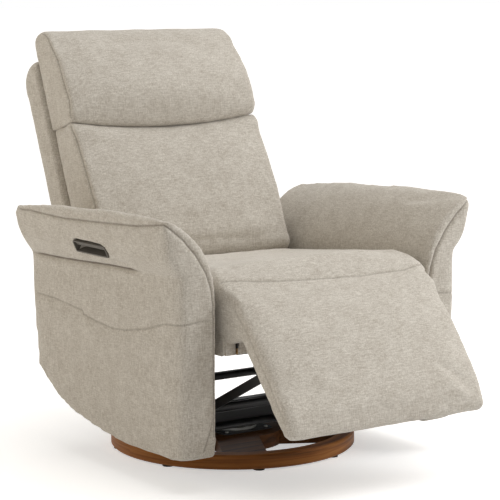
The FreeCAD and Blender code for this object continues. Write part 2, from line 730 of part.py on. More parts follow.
def make_seat_plates():
    """Outer plates of the seat: they carry the slide pins and, at the rear, the back's pivots."""
    corners = [("slot_front - 18", "slot_height - 14"), ("slot_rear + 40", "slot_height - 14"),
               ("back_pivot_back + 14", "back_pivot_height - 30"), ("back_pivot_back + 14", "back_pivot_height"),
               ("back_pivot_back - 14", "back_pivot_height"), ("slot_rear + 20", "slot_height + 42"),
               ("slot_front - 18", "slot_height + 42")]
    eyes = [("back_pivot_back", "back_pivot_height", "14")]
    bores = [("slot_front", "slot_height", "slide_pin"), ("slot_rear", "slot_height", "slide_pin"),
             ("back_pivot_back", "back_pivot_height", "pivot_radius")]
    for side, word in ((-1, "right"), (1, "left")):
        plate(f"seat_plate_{word}", corners, "plate_thick", "seat_plate_inner", side, eyes=eyes, bores=bores)
    pins = []
    for side in (-1, 1):
        for spot in ("slot_front", "slot_rear"):
            start = Vector(side * size("seat_plate_inner"), size(spot), size("slot_height"))
            pins.append(cylinder("slide_pin", "arm_inner - seat_plate_inner - 0.5", start, ACROSS * side))
            collar = start + ACROSS * (side * size("plate_thick + 1"))
            pins.append(cylinder("slide_pin + 4", "arm_inner - seat_plate_inner - plate_thick * 2 - 2", collar,
                                 ACROSS * side))
        start = Vector(side * size("back_half - 6"), size("back_pivot_back"), size("back_pivot_height"))
        pins.append(cylinder("pivot_radius", "seat_plate_inner - back_half + plate_thick + 6", start, ACROSS * side))
        end = start + ACROSS * (side * size("seat_plate_inner - back_half + plate_thick + 6"))
        pins.append(cylinder("pivot_radius + 4", "3", end, ACROSS * side))
    keep(fuse(pins), "seat_pins")


# Back

def back_placement():
    return Placement(Vector(0, size("back_pivot_back"), size("back_pivot_height")), Rotation(ACROSS, -size("back_lean")))


def make_back_frame():
    """Plywood board and the upholstered shell behind and round it."""
    board = new_body("back_board")
    sketch = new_sketch(board, "XZ_Plane")
    half = "back_half - 18"
    draw_polygon(sketch, [(minus(half), "5 - back_drop"), (half, "5 - back_drop"), (half, "back_height - 20"),
                          (minus(half), "back_height - 20")])
    sheet = pad(board, sketch, "16")
    fillet(board, sheet, edges_along(sheet.Shape, Vector(0, 1, 0), lambda spot: spot.z > 0), "30")
    board.Placement = back_placement().multiply(Placement(Vector(0, size("back_shell_front + 18"), 0), Rotation()))
    keep(board, "back_board")

    front, rear = size("back_shell_front"), size("back_shell_rear")
    top, low = size("back_height"), -size("back_drop")

    def outline(draw_in, rise):
        behind, high = rear - draw_in * 0.4, top - draw_in
        return [(front, low), (front, high, rear - 14, high - 11), (behind, high - 50),
                (behind, low + 24, behind - 7, low + 7), (behind - 24, low)]

    solid = made(padded(outline, size("back_half"), 34, 0), "ShellBlock", back_placement())
    pivots = []
    for side in (-1, 1):
        start = Vector(side * size("back_half - 7"), size("back_pivot_back"), size("back_pivot_height"))
        pivots.append(cylinder("pivot_radius + 3", "20", start, ACROSS * side))
    keep(cut(solid, fuse([board] + pivots)), "back_shell")


def make_back_cushions():
    """Back cushion and headrest cushion, crowned and drawn in at their sides, meeting at the cross seam."""
    rear = size("back_shell_front - soft_gap")
    deep, seam, top = size("back_cushion_depth"), size("headrest_seam"), size("headrest_top")

    def lower(draw_in, rise):
        front = draw_in - deep
        return [(rear, 46), (rear, seam), (front + 16, seam, front + 3, seam - 8),
                (front - rise * 0.35, seam - 40, front - rise, seam * 0.53),
                (front - rise * 0.35, 70, front + 2, 40), (front + 18, 27), (-50, 34)]

    cushion = padded(lower, size("back_half - 1"), 22, size("back_crown"))
    keep(made(cushion, "back_cushion", back_placement()), "back_cushion")

    def upper(draw_in, rise):
        front, high = draw_in + 12 - deep, top - draw_in * 0.9
        return [(rear, seam + 0.3), (rear, high - 30, rear - 9, high - 8), (rear - 32, high),
                (draw_in * 0.6 - 46, high, draw_in * 0.8 - 67, high - 17),
                (draw_in - 79, high - 60, front - rise, seam + 112),
                (front - rise * 0.4, seam + 36, front + 2, seam + 9), (front + 16, seam + 0.3)]

    cushion = padded(upper, size("back_half + 5"), 22, size("back_crown"))
    keep(made(cushion, "headrest_cushion", back_placement()), "headrest_cushion")


def make_back_plates():
    """Side plates of the back, with the pivot bore and the guide stud above it."""
    lean = math.radians(size("back_lean"))
    rise = size("stud_rise")
    stud = (str(round(-rise * math.sin(lean), 3)), str(round(rise * math.cos(lean), 3)))
    corners = [("0 - 14", "0 - 14"), ("34", "0 - 30"), ("34", "170"), ("0", "170"),
               (f"{stud[0]} - 12", f"{stud[1]} + 10"), (f"{stud[0]} - 12", f"{stud[1]} - 12")]
    for side, word in ((-1, "right"), (1, "left")):
        plate(f"back_plate_{word}", corners, "plate_thick", "back_half", side,
              bores=[("0", "0", "pivot_radius + running_gap")], corner_round="8",
              turn=-size("back_lean"), at=("back_pivot_back", "back_pivot_height"))
    studs = []
    for side in (-1, 1):
        spot = Vector(side * size("back_half + plate_thick"), size("back_pivot_back"),
                      size("back_pivot_height + stud_rise"))
        studs.append(cylinder("stud_radius", "arm_inner - back_half - plate_thick - 0.5", spot, ACROSS * side))
    keep(fuse(studs), "guide_studs")


# Footrest

def footrest_placement():
    return Placement(Vector(0, -size("hinge_front"), size("hinge_height")), Rotation(ACROSS, -size("footrest_turn")))


def make_footrest():
    """Board, pad and hinge arms. They are drawn hanging straight down from the hinge and turned forward."""
    place = footrest_placement()
    board = new_body("footrest_board")
    sketch = new_sketch(board, "XZ_Plane")
    half = "pad_half - 20"
    draw_polygon(sketch, [(minus(half), "15 - pad_length"), (half, "15 - pad_length"), (half, "0 - 20"),
                          (minus(half), "0 - 20")])
    sheet = pad(board, sketch, "board_thick")
    fillet(board, sheet, edges_along(sheet.Shape, Vector(0, 1, 0)), "14")
    board.Placement = place.multiply(Placement(Vector(0, -size("pad_offset"), 0), Rotation()))
    keep(board, "footrest_board")

    offset, radius, length = size("pad_offset"), size("nose_radius"), size("pad_length")

    def outline(draw_in, rise):
        nose, end = radius - draw_in, draw_in * 0.8 - length
        front, middle, back = swept_arc((0, 0), nose, 180, math.degrees(math.acos(-offset / nose)))
        swell = -nose - size("pad_swell") - rise
        return [(-offset, end + 4), back + middle, front + (swell, -length * 0.38), (swell + 6, -length * 0.62,
                swell + 10 + rise * 0.6, -length * 0.8), (-nose + 12, end + 22, -nose + 20, end + 6), (-nose + 36, end)]

    padding = made(padded(outline, size("pad_half"), 24, size("pad_crown")), "PadBlock", place)
    keep(cut(padding, board), "footrest_pad")

    width = size("pad_offset")
    corners = [("0 - pad_offset", "0"), (str(width), "0"), (str(width), "0 - lug_along + 34"),
               ("lug_behind + drive_eye", "0 - lug_along + 6"), ("lug_behind + drive_eye", "0 - lug_along - 6"),
               (str(width), "0 - lug_along - 34"), (str(width), "40 - pad_length"),
               ("0 - pad_offset", "40 - pad_length")]
    bores = [("0", "0", "hinge_pin + running_gap"), ("lug_behind", "0 - lug_along", "drive_pin + running_gap * 6")]
    inner = "footrest_plate_outer - plate_thick - link_thick - 1"
    for side, word in ((-1, "right"), (1, "left")):
        plate(f"footrest_arm_{word}", corners, "link_thick", inner, side, eyes=[("0", "0", "hinge_eye")], bores=bores,
              turn=-size("footrest_turn"), at=("0 - hinge_front", "hinge_height"))


def drive_turn():
    """Angle of the drive cranks from straight down, forward positive, and their length."""
    along, behind = size("lug_along"), size("lug_behind")
    return size("footrest_turn") - math.degrees(math.atan2(behind, along)), math.hypot(along, behind)


def make_footrest_drive():
    """Plates under the seat, cranks on their cross tube, and the links up to the footrest arms."""
    turn, reach = drive_turn()
    outer = "footrest_plate_outer"
    corners = [("0 - 110", "drive_height + 20"), ("0 - 110", "drive_height + 48"),
               ("0 - hinge_front + 48", "drive_height + 48"), ("6.5 - hinge_front", "hinge_height"),
               ("0 - hinge_front - 6.5", "hinge_height"),
               ("0 - hinge_front + 6", "drive_height + 30"), ("0 - drive_front - 40", "drive_height - 4"),
               ("0 - drive_front - 10", "drive_height - 14"), ("0 - drive_front + 14", "drive_height - 14")]
    hinge = ("0 - hinge_front", "hinge_height")
    pivot = ("0 - drive_front", "drive_height")
    for side, word in ((-1, "right"), (1, "left")):
        plate(f"footrest_plate_{word}", corners, "plate_thick", f"{outer} - plate_thick", side,
              eyes=[hinge + ("hinge_eye - 0.5",)],
              bores=[hinge + ("hinge_pin",), pivot + ("drive_pin + running_gap",)])
    arm_inner = f"{outer} - plate_thick - link_thick - 1"
    length = str(round(reach, 4))
    for side, word in ((-1, "right"), (1, "left")):
        link(f"drive_crank_{word}", length, "link_thick", "drive_eye", "drive_pin + running_gap", arm_inner, side,
             -turn, ("0 - drive_front", "drive_height"))

    start = Vector(-size(arm_inner), -size("drive_front"), size("drive_height"))
    shafts = [tube("drive_tube", "2", f"( {arm_inner} ) * 2", start, "Tube")]
    for side in (-1, 1):
        spot = Vector(side * size(f"{arm_inner} - 3"), start.y, start.z)
        shafts.append(cylinder("drive_pin", f"{outer} - ( {arm_inner} ) + 3", spot, ACROSS * side))
        shafts.append(cylinder("drive_tube - 1", "3", spot, ACROSS * side))
    keep(fuse(shafts), "drive_tube")

    rise, run = size("hinge_height - drive_height"), size("hinge_front - drive_front")
    span = math.hypot(rise, run)
    lean = -math.degrees(math.atan2(run, rise)) + 180
    angle = math.radians(turn)
    knee = (str(round(-size("drive_front") - reach * math.sin(angle), 4)),
            str(round(size("drive_height") - reach * math.cos(angle), 4)))
    link_inner = f"{arm_inner} - link_thick - 1"
    for side, word in ((-1, "right"), (1, "left")):
        link(f"drive_link_{word}", str(round(span, 4)), "link_thick", "drive_eye - 1", "drive_pin", link_inner, side,
             -lean, knee)

    pins = []
    for side in (-1, 1):
        spots = ((float(knee[0]), float(knee[1])),
                 (float(knee[0]) - run, float(knee[1]) + rise))
        for y, z in spots:
            start = Vector(side * size(f"{link_inner} - 3"), y, z)
            pins.append(cylinder("drive_pin", "link_thick * 2 + 1 + 3", start, ACROSS * side))
            pins.append(cylinder("drive_pin + 3", "3", start, ACROSS * side))
    keep(fuse(pins), "link_pins")

    hinges = []
    for side in (-1, 1):
        start = Vector(side * size(f"{arm_inner} - 2.5"), -size("hinge_front"), size("hinge_height"))
        hinges.append(cylinder("hinge_pin", f"{outer} - ( {arm_inner} ) + 2.5", start, ACROSS * side))
        hinges.append(cylinder("hinge_pin + 2.5", "2", start, ACROSS * side))
    keep(fuse(hinges), "hinge_pins")


def check(parts):
    """Stop if any object failed or any sub-part is empty or broken."""
    doc.recompute()
    for obj in doc.Objects:
        if "Invalid" in obj.State or "Error" in obj.State:
            raise RuntimeError(f"{obj.Label} failed: {obj.State}")
    for obj in parts:
        if obj.Shape.isNull() or not obj.Shape.isValid() or not obj.Shape.Solids:
            raise RuntimeError(f"{obj.Label} has no valid solid")


def main():
    make_base()
    floor = make_swivel()
    make_carriage(floor)
    make_swing_links()
    make_glide_rails()
    make_chassis_plates()
    for side, word in ((-1, "right"), (1, "left")):
        make_arm(side, word)
    make_lever()
    make_chassis_bolts()
    make_seat_frame()
    make_seat_cushion()
    make_seat_plates()
    make_back_frame()
    make_back_cushions()
    make_back_plates()
    make_footrest()
    make_footrest_drive()
    check(NODES)
    os.makedirs("parts", exist_ok=True)
    for obj in NODES:
        obj.Shape.exportStep(os.path.join("parts", obj.Label + ".step"))
    print(len(NODES), "sub-parts written")


main()
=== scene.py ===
"""Swivel glider recliner: upholstery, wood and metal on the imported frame, with a studio and the camera."""

import json
import logging
import math
from dataclasses import dataclass, field, replace
from enum import Enum
from typing import Any

import bmesh
import bpy
from mathutils import Matrix, Vector, noise
from mathutils.bvhtree import BVHTree
from mathutils.kdtree import KDTree


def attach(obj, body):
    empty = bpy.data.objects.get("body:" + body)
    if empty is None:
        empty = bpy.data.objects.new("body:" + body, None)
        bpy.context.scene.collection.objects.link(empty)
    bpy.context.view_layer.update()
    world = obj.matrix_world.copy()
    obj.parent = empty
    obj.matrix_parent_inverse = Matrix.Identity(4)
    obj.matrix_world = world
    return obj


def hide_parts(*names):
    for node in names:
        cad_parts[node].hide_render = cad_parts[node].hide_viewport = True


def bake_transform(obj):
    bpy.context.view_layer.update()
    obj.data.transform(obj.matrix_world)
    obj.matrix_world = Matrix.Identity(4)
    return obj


LOG = logging.getLogger("recliner")

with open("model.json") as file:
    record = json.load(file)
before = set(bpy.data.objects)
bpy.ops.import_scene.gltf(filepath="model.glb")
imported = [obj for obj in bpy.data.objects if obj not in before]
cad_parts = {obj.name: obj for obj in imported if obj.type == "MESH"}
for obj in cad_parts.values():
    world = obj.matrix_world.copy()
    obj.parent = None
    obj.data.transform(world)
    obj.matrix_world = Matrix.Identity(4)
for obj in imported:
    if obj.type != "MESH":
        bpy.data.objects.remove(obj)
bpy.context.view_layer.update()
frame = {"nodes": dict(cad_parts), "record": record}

Point = tuple[float, float, float]
Stops = tuple[tuple[float, float], ...]
Tree = bpy.types.NodeTree
Node = bpy.types.Node
Socket = bpy.types.NodeSocket


class Side(Enum):
    """The sitter's two sides, with the sign of X there."""

    RIGHT = -1
    LEFT = 1

    @property
    def word(self) -> str:
        """Name of the side as the CAD nodes write it."""
        return self.name.lower()


class Grain(Enum):
    """How wood grain runs on a piece."""

    ROUND_THE_RING = "ring"
    ALONG_X = "x"
    ALONG_Y = "y"


# Materials


def linear(colour: str) -> tuple[float, float, float, float]:
    """Turn an sRGB hex colour into linear RGBA.

    Args:
        colour: Six hex digits after a hash sign.

    Returns:
        Red, green, blue and an alpha of 1.
    """
    values = [int(colour[start : start + 2], 16) / 255 for start in (1, 3, 5)]
    rgb = [v / 12.92 if v <= 0.04045 else ((v + 0.055) / 1.055) ** 2.4 for v in values]
    return rgb[0], rgb[1], rgb[2], 1.0


def add(tree: Tree, kind: str, settings: dict[Any, Any], links: dict[Any, Any]) -> Node:
    """Add one node.

    Args:
        tree: Node tree that the node goes into.
        kind: Identifier of the node type.
        settings: Values by input name or number, or by property name.
        links: Output sockets by the input name or number that they feed.

    Returns:
        The new node.
    """
    node = tree.nodes.new(kind)
    for key, value in settings.items():
        if isinstance(key, str) and hasattr(node, key):
            setattr(node, key, value)
        else:
            node.inputs[key].default_value = value
    for key, socket in links.items():
        tree.links.new(socket, node.inputs[key])
    return node


def ramp(tree: Tree, socket: Socket, stops: list[tuple[float, str]]) -> Socket:
    """Colour ramp through hex colours.

    Args:
        tree: Node tree that the ramp goes into.
        socket: Value that drives it.
        stops: Positions from 0 to 1 with their colours.

    Returns:
        The colour output.
    """
    node = add(tree, "ShaderNodeValToRGB", {}, {"Fac": socket})
    elements = node.color_ramp.elements
    while len(elements) < len(stops):
        elements.new(0.5)
    for element, (position, colour) in zip(elements, stops):
        element.position = position
        element.color = linear(colour)
    return node.outputs["Color"]


def noise_at(tree: Tree, place: Socket, settings: dict[Any, Any]) -> Socket:
    """Noise texture read at a place."""
    return add(tree, "ShaderNodeTexNoise", settings, {"Vector": place}).outputs[0]


def mixed(tree: Tree, share: float, first: Socket, second: Socket) -> Socket:
    """Mix two values, with a fixed share of the second."""
    return add(tree, "ShaderNodeMix", {"data_type": "FLOAT", 0: share}, {2: first, 3: second}).outputs[0]


def spread_out(tree: Tree, place: Socket, scale: Point) -> Socket:
    """Stretch or squeeze a place along each axis."""
    return add(tree, "ShaderNodeMapping", {"vector_type": "POINT", "Scale": scale}, {"Vector": place}).outputs[0]


def seen_ray(tree: Tree) -> tuple[Node, Socket]:
    """Light path node, with 1 for the camera's own rays and for reflections."""
    path = add(tree, "ShaderNodeLightPath", {}, {})
    shiny = add(tree, "ShaderNodeMath", {"operation": "MAXIMUM"},
                {0: path.outputs["Is Camera Ray"], 1: path.outputs["Is Glossy Ray"]})
    return path, shiny.outputs[0]


@dataclass(frozen=True)
class Finish:
    """A material: its name and the plain settings of its shader."""

    name: str
    roughness: float = 0.5
    metallic: float = 0.0
    sheen: float = 0.0

    def material(self) -> bpy.types.Material:
        """Return the material, built the first time it is asked for."""
        known = bpy.data.materials.get(self.name)
        if known:
            return known
        made = bpy.data.materials.new(self.name)
        made.use_nodes = True
        tree = made.node_tree
        shader = tree.nodes["Principled BSDF"]
        shader.inputs["Roughness"].default_value = self.roughness
        shader.inputs["Metallic"].default_value = self.metallic
        shader.inputs["Sheen Weight"].default_value = self.sheen
        self.dress(tree, shader)
        return made

    def dress(self, tree: Tree, shader: Node) -> None:
        """Add the pattern of this finish."""
        raise NotImplementedError

    def raise_surface(self, tree: Tree, shader: Node, height: Socket, strength: float, depth: float) -> None:
        """Give the material a relief that follows a height."""
        bump = add(tree, "ShaderNodeBump", {"Strength": strength, "Distance": depth}, {"Height": height})
        tree.links.new(bump.outputs[0], shader.inputs["Normal"])

    def vary_gloss(self, tree: Tree, shader: Node, pattern: Socket, low: float, high: float) -> None:
        """Let the roughness follow a pattern between two levels."""
        span = add(tree, "ShaderNodeMapRange", {"To Min": low, "To Max": high}, {"Value": pattern})
        tree.links.new(span.outputs[0], shader.inputs["Roughness"])


@dataclass(frozen=True)
class Chenille(Finish):
    """Heathered chenille: short streaks of lighter and darker yarn over a soft napped ground, with shade painted into
    its seams.

    Args:
        dark, middle, light: Colours of the yarns.
        seam: Colour of the shade painted in the depth of a seam.
        yarn, streak: Width and length of a streak, metres.
        nap: Size of the grain of the nap.
        patch: How many wide patches of tone there are in a metre.
        grain_share, patch_share: Shares of the grain and the patches in the colour.
        relief, depth: How much of the weave's relief shows, and its height in metres.
    """

    dark: str = "#aea599"
    middle: str = "#c6c0b6"
    light: str = "#dcd7ce"
    seam: str = "#5d5145"
    yarn: float = 0.0026
    streak: float = 0.017
    nap: float = 0.0015
    patch: float = 24.0
    grain_share: float = 0.15
    patch_share: float = 0.1
    relief: float = 0.45
    depth: float = 0.0012

    def dress(self, tree: Tree, shader: Node) -> None:
        """Cross three sets of streaks, one along each axis, so that two of them weave on every face."""
        place = add(tree, "ShaderNodeTexCoord", {}, {}).outputs["Object"]
        # The yarn is drawn at 2.6 mm for its real 2 mm, so that its streaks still show at the photograph's distance.
        across, along = 1 / self.yarn, 1 / self.streak
        sets = []
        for axis in range(3):
            scale = [across, across, across]
            scale[axis] = along
            streaks = {"Scale": 1.0, "Detail": 2.0, "Roughness": 0.6}
            sets.append(noise_at(tree, spread_out(tree, place, scale), streaks))
        # The shares give the level streaks, the deep ones and the upright ones about the same weight.
        heather = mixed(tree, 0.33, mixed(tree, 0.45, sets[0], sets[1]), sets[2])
        grain = noise_at(tree, place, {"Scale": 1 / self.nap, "Detail": 1.0, "Roughness": 0.6})
        patches = noise_at(tree, place, {"Scale": self.patch, "Detail": 2.0, "Roughness": 0.55})
        whole = mixed(tree, self.patch_share, mixed(tree, self.grain_share, heather, grain), patches)
        yarns = ramp(tree, whole, [(0.40, self.dark), (0.5, self.middle), (0.60, self.light)])
        # Painted shade: the seam_shade attribute darkens the yarn colours towards the seam colour in the depth of
        # each seam.
        shade = add(tree, "ShaderNodeAttribute", {"attribute_name": "seam_shade"}, {})
        painted_seam_shade = add(tree, "ShaderNodeMix", {"data_type": "RGBA", 7: linear(self.seam)},
                   {0: shade.outputs["Fac"], 6: yarns})
        tree.links.new(painted_seam_shade.outputs[2], shader.inputs["Base Color"])
        self.raise_surface(tree, shader, mixed(tree, 0.5, heather, grain), self.relief, self.depth)
        shader.inputs["Sheen Roughness"].default_value = 0.5


@dataclass(frozen=True)
class Walnut(Finish):
    """Satin walnut stain: long dark grain lines over red-brown ground, with pores that catch the light.

    Args:
        grain: How the grain runs.
        dark, middle, light: Colours of the stain, the first on the grain lines.
        line, run: Width and length of a grain line, metres.
        turn: Radius by which an angle round the ring becomes a length.
        relief, depth: How much of the pores' relief shows, and its height in metres.
    """

    grain: Grain = Grain.ALONG_X
    dark: str = "#5b3618"
    middle: str = "#965e2b"
    light: str = "#b47a42"
    line: float = 0.004
    run: float = 0.11
    turn: float = 0.3
    relief: float = 0.12
    depth: float = 0.0005

    def dress(self, tree: Tree, shader: Node) -> None:
        """Stretch a noise along the grain."""
        place = add(tree, "ShaderNodeTexCoord", {}, {}).outputs["Object"]
        order = self.axes(tree, place)
        joined = add(tree, "ShaderNodeCombineXYZ", {}, {0: order[0], 1: order[1], 2: order[2]})
        spread = spread_out(tree, joined.outputs[0], (1 / self.run, 1 / self.line, 1 / self.line))
        figure = noise_at(tree, spread, {"Scale": 0.35, "Detail": 5.0, "Roughness": 0.62, "Distortion": 0.4})
        stain = ramp(tree, figure, [(0.3, self.dark), (0.5, self.middle), (0.72, self.light)])
        tree.links.new(stain, shader.inputs["Base Color"])
        pores = noise_at(tree, spread, {"Scale": 1.6, "Detail": 2.0})
        self.raise_surface(tree, shader, pores, self.relief, self.depth)
        self.vary_gloss(tree, shader, pores, self.roughness - 0.08, self.roughness + 0.12)
        shader.inputs["Specular IOR Level"].default_value = 0.2

    def axes(self, tree: Tree, place: Socket) -> list[Socket]:
        """Find the distances along and across the grain, which round the ring are the arc and the radius.

        Args:
            tree: Node tree of the material.
            place: Place on the piece.

        Returns:
            The distance along the grain, then the two across it.
        """
        parts = add(tree, "ShaderNodeSeparateXYZ", {}, {0: place}).outputs
        if self.grain is Grain.ALONG_X:
            return [parts["X"], parts["Y"], parts["Z"]]
        if self.grain is Grain.ALONG_Y:
            return [parts["Y"], parts["X"], parts["Z"]]
        angle = add(tree, "ShaderNodeMath", {"operation": "ARCTAN2"}, {0: parts["Y"], 1: parts["X"]})
        arc = add(tree, "ShaderNodeMath", {"operation": "MULTIPLY", 1: self.turn}, {0: angle.outputs[0]})
        flat = add(tree, "ShaderNodeVectorMath", {"operation": "MULTIPLY", 1: (1, 1, 0)}, {0: place})
        radius = add(tree, "ShaderNodeVectorMath", {"operation": "LENGTH"}, {0: flat.outputs[0]})
        return [arc.outputs[0], radius.outputs["Value"], parts["Z"]]


@dataclass(frozen=True)
class Speckled(Finish):
    """Plain ground with a fine relief and slight changes of tone, for coated metal, moulded plastic and rubber.

    Args:
        ground, worn: Colours of most of the piece and of its lighter patches.
        speck: Size of the fine grain, metres.
        relief, depth: How much of the grain's relief shows, and its height in metres.
        stretch: Stretch of the grain along each axis.
        patch: How many wide patches of tone there are in a metre.
    """

    ground: str = "#1a1a1b"
    worn: str = "#2b2b2c"
    speck: float = 0.0015
    relief: float = 0.15
    stretch: Point = (1.0, 1.0, 1.0)
    depth: float = 0.0004
    patch: float = 22.0

    def dress(self, tree: Tree, shader: Node) -> None:
        """A fine noise gives the relief and a wide one the change of tone and gloss."""
        place = add(tree, "ShaderNodeTexCoord", {}, {}).outputs["Object"]
        fine = noise_at(tree, spread_out(tree, place, self.stretch), {"Scale": 1 / self.speck, "Detail": 2.0})
        wide = noise_at(tree, place, {"Scale": self.patch, "Detail": 3.0})
        tone = ramp(tree, mixed(tree, 0.6, fine, wide), [(0.4, self.ground), (0.68, self.worn)])
        tree.links.new(tone, shader.inputs["Base Color"])
        self.raise_surface(tree, shader, fine, self.relief, self.depth)
        self.vary_gloss(tree, shader, wide, max(0.05, self.roughness - 0.1), self.roughness + 0.12)


# Chenille upholstery cloth: what gives the eye its warm stone colour, soft sheen and heathered streaks.
CHENILLE = Chenille("heathered_chenille", roughness=0.95, sheen=0.25)
# Bent wood of the base ring: warm walnut brown, long grain that follows the ring, and a satin gloss.
RING_WOOD = Walnut("walnut_bent_ring", roughness=0.52, grain=Grain.ROUND_THE_RING)
# Spokes and hub of the base: the same wood, its stain colours painted darker as shade from the chair above them.
BOARD_WOOD = Walnut("walnut_boards", roughness=0.52, dark="#3c2412", middle="#6a4322", light="#835831")
# Plywood of the hidden frames: pale, matt birch with an even grain.
PLYWOOD = Walnut("birch_plywood", roughness=0.7, grain=Grain.ALONG_Y, dark="#a07f55", middle="#c2a276",
                 light="#d8bd94")
# Black powder coat on the steel mechanism: even, slightly pebbled, with a low gloss.
POWDER_COAT = Speckled("black_powder_coat", roughness=0.5, ground="#121213", worn="#1f1f20")
# Zinc plated steel pins, bolts and races: pale metal with a fine drawn look.
ZINC = Speckled("zinc_plated_steel", roughness=0.32, metallic=1.0, ground="#b4b5b2", worn="#cfcfca", relief=0.05)
# Moulded ABS of the release bezel and paddle, and the bearing cage: warm dark grey, fine grained.
ABS = Speckled("moulded_abs", roughness=0.6, ground="#55514a", worn="#69645c", speck=0.0008)
# Non-woven dust cloth under the seat: matt black fibres.
DUST_CLOTH = Speckled("nonwoven_dust_cloth", roughness=0.95, ground="#141414", worn="#242424", speck=0.001,
                      relief=0.4)
# Elastic webbing: matt brown-black, with ribs across its width.
WEBBING = Speckled("elastic_webbing", roughness=0.9, ground="#15130f", worn="#34302a", speck=0.0012, relief=0.5,
                   stretch=(1.0, 0.2, 1.0))
# Rubber pads under the base: matt black that only shows as a thin dark line above the floor.
RUBBER = Speckled("rubber_pads", roughness=0.85, ground="#121212", worn="#1e1e1e", relief=0.3)

SLOT_FINISHES: dict[str, Finish] = {
    "walnut": BOARD_WOOD, "plywood": PLYWOOD, "black_steel": POWDER_COAT, "plain_steel": ZINC, "dark_plastic": ABS,
    "dust_cloth": DUST_CLOTH, "webbing": WEBBING, "floor_pad": RUBBER, "upholstery": CHENILLE,
}


# Meshes


def applied(obj: bpy.types.Object) -> bpy.types.Mesh:
    """Mesh of an object with its modifiers worked in."""
    graph = bpy.context.evaluated_depsgraph_get()
    return bpy.data.meshes.new_from_object(obj.evaluated_get(graph), depsgraph=graph)


def settle(obj: bpy.types.Object) -> None:
    """Swap an object's mesh for the one its modifiers give, and take the modifiers off."""
    mesh = applied(obj)
    obj.modifiers.clear()
    old = obj.data
    obj.data = mesh
    bpy.data.meshes.remove(old)


def linked(name: str, data: bpy.types.ID) -> bpy.types.Object:
    """Make an object of a mesh, a light or a camera, and put it in the scene."""
    obj = bpy.data.objects.new(name, data)
    bpy.context.scene.collection.objects.link(obj)
    return obj


def place_mesh(name: str, bm: bmesh.types.BMesh) -> bpy.types.Object:
    """Turn a bmesh into an object at the origin, and free the bmesh."""
    mesh = bpy.data.meshes.new(name)
    bm.to_mesh(mesh)
    bm.free()
    return linked(name, mesh)


def move_smoothly(bm: bmesh.types.BMesh, moves: list[Vector]) -> None:
    """Move each point of a bmesh by its own amount, and shade the faces smooth."""
    for vertex, move in zip(bm.verts, moves):
        vertex.co += move
    for face in bm.faces:
        face.smooth = True


# Frame of the leaning back, its origin on the pivot. The sitter faces -Y in it too.
BACK_FRAME = Matrix.Translation((0, 0.255, 0.4)) @ Matrix.Rotation(math.radians(-22), 4, "X")
BACK_FRAME_IN = BACK_FRAME.inverted()
# Height in that frame of the seam between the back cushion and the headrest.
JOINT = 0.404

# Frames for which the cloth is inflated.
CLOTH_FRAMES = 20
# The cloth is held fast up to the first distance from a pinned seam, and free beyond the second.
PINNED, FREE = 0.004, 0.012
# Share of a move inwards that is taken back, so that corners keep their fullness.
INWARD_CUT = 0.85
# Distances from a line within which the mesh is divided, and within which the line shapes the cloth.
FINE_REACH, LINE_REACH = 0.009, 0.03


def read_line(value: float, stops: Stops) -> float:
    """Height at a value on a line through (value, height) stops, level beyond its ends.

    Args:
        value: Where to read it.
        stops: Corners of the line, their values rising.

    Returns:
        The height.
    """
    for (start, low), (end, high) in zip(stops, stops[1:]):
        if value <= end:
            return low + (high - low) * min(1.0, max(0.0, (value - start) / (end - start)))
    return stops[-1][1]


def smooth_step(value: float, low: float, high: float) -> float:
    """Rise from 0 at low to 1 at high, level at both ends."""
    part = min(1.0, max(0.0, (value - low) / (high - low)))
    return part * part * (3 - 2 * part)


@dataclass
class Line:
    """A sewn seam or a soft fold drawn on a soft piece.

    Args:
        points: Corners of the line near the surface, metres.
        depth: How deep the cloth is drawn in, metres.
        width: Half-width of the groove.
        shade: Darkness of the shade painted along the line's groove, from 0 to 1.
        swell: Height of the cloth beside it.
        pucker: Height of the small waves along it.
        pinned: Whether the line stays where it is while the piece is inflated.
        fade: Length over which each end runs out.
    """

    points: list[Point]
    depth: float = 0.004
    width: float = 0.0035
    shade: float = 0.75
    swell: float = 0.0012
    pucker: float = 0.0007
    pinned: bool = True
    fade: float = 0.0

    def mirrored(self) -> "Line":
        """The same line on the other side of the chair."""
        return replace(self, points=[(-x, y, z) for x, y, z in self.points])

    def on_surface(self, tree: BVHTree, step: float = 0.002) -> list[tuple[Vector, Vector, float, float]]:
        """Lay the line on a surface.

        Args:
            tree: The surface.
            step: Distance between the points worked out.

        Returns:
            Place, normal, distance along and strength of each point.
        """
        corners = [Vector(point) for point in self.points]
        walked, spots = 0.0, []
        for start, end in zip(corners, corners[1:]):
            count = max(1, round((end - start).length / step))
            for number in range(count):
                guess = start.lerp(end, number / count)
                spot, normal, _, _ = tree.find_nearest(guess)
                if spots:
                    walked += (spot - spots[-1][0]).length
                spots.append((spot, normal, walked))
        tiny = 1e-6
        total, fade = max(walked, tiny), max(self.fade, tiny)
        return [(spot, normal, along, smooth_step(min(along, total - along), -tiny, fade) if self.fade else 1.0)
                for spot, normal, along in spots]


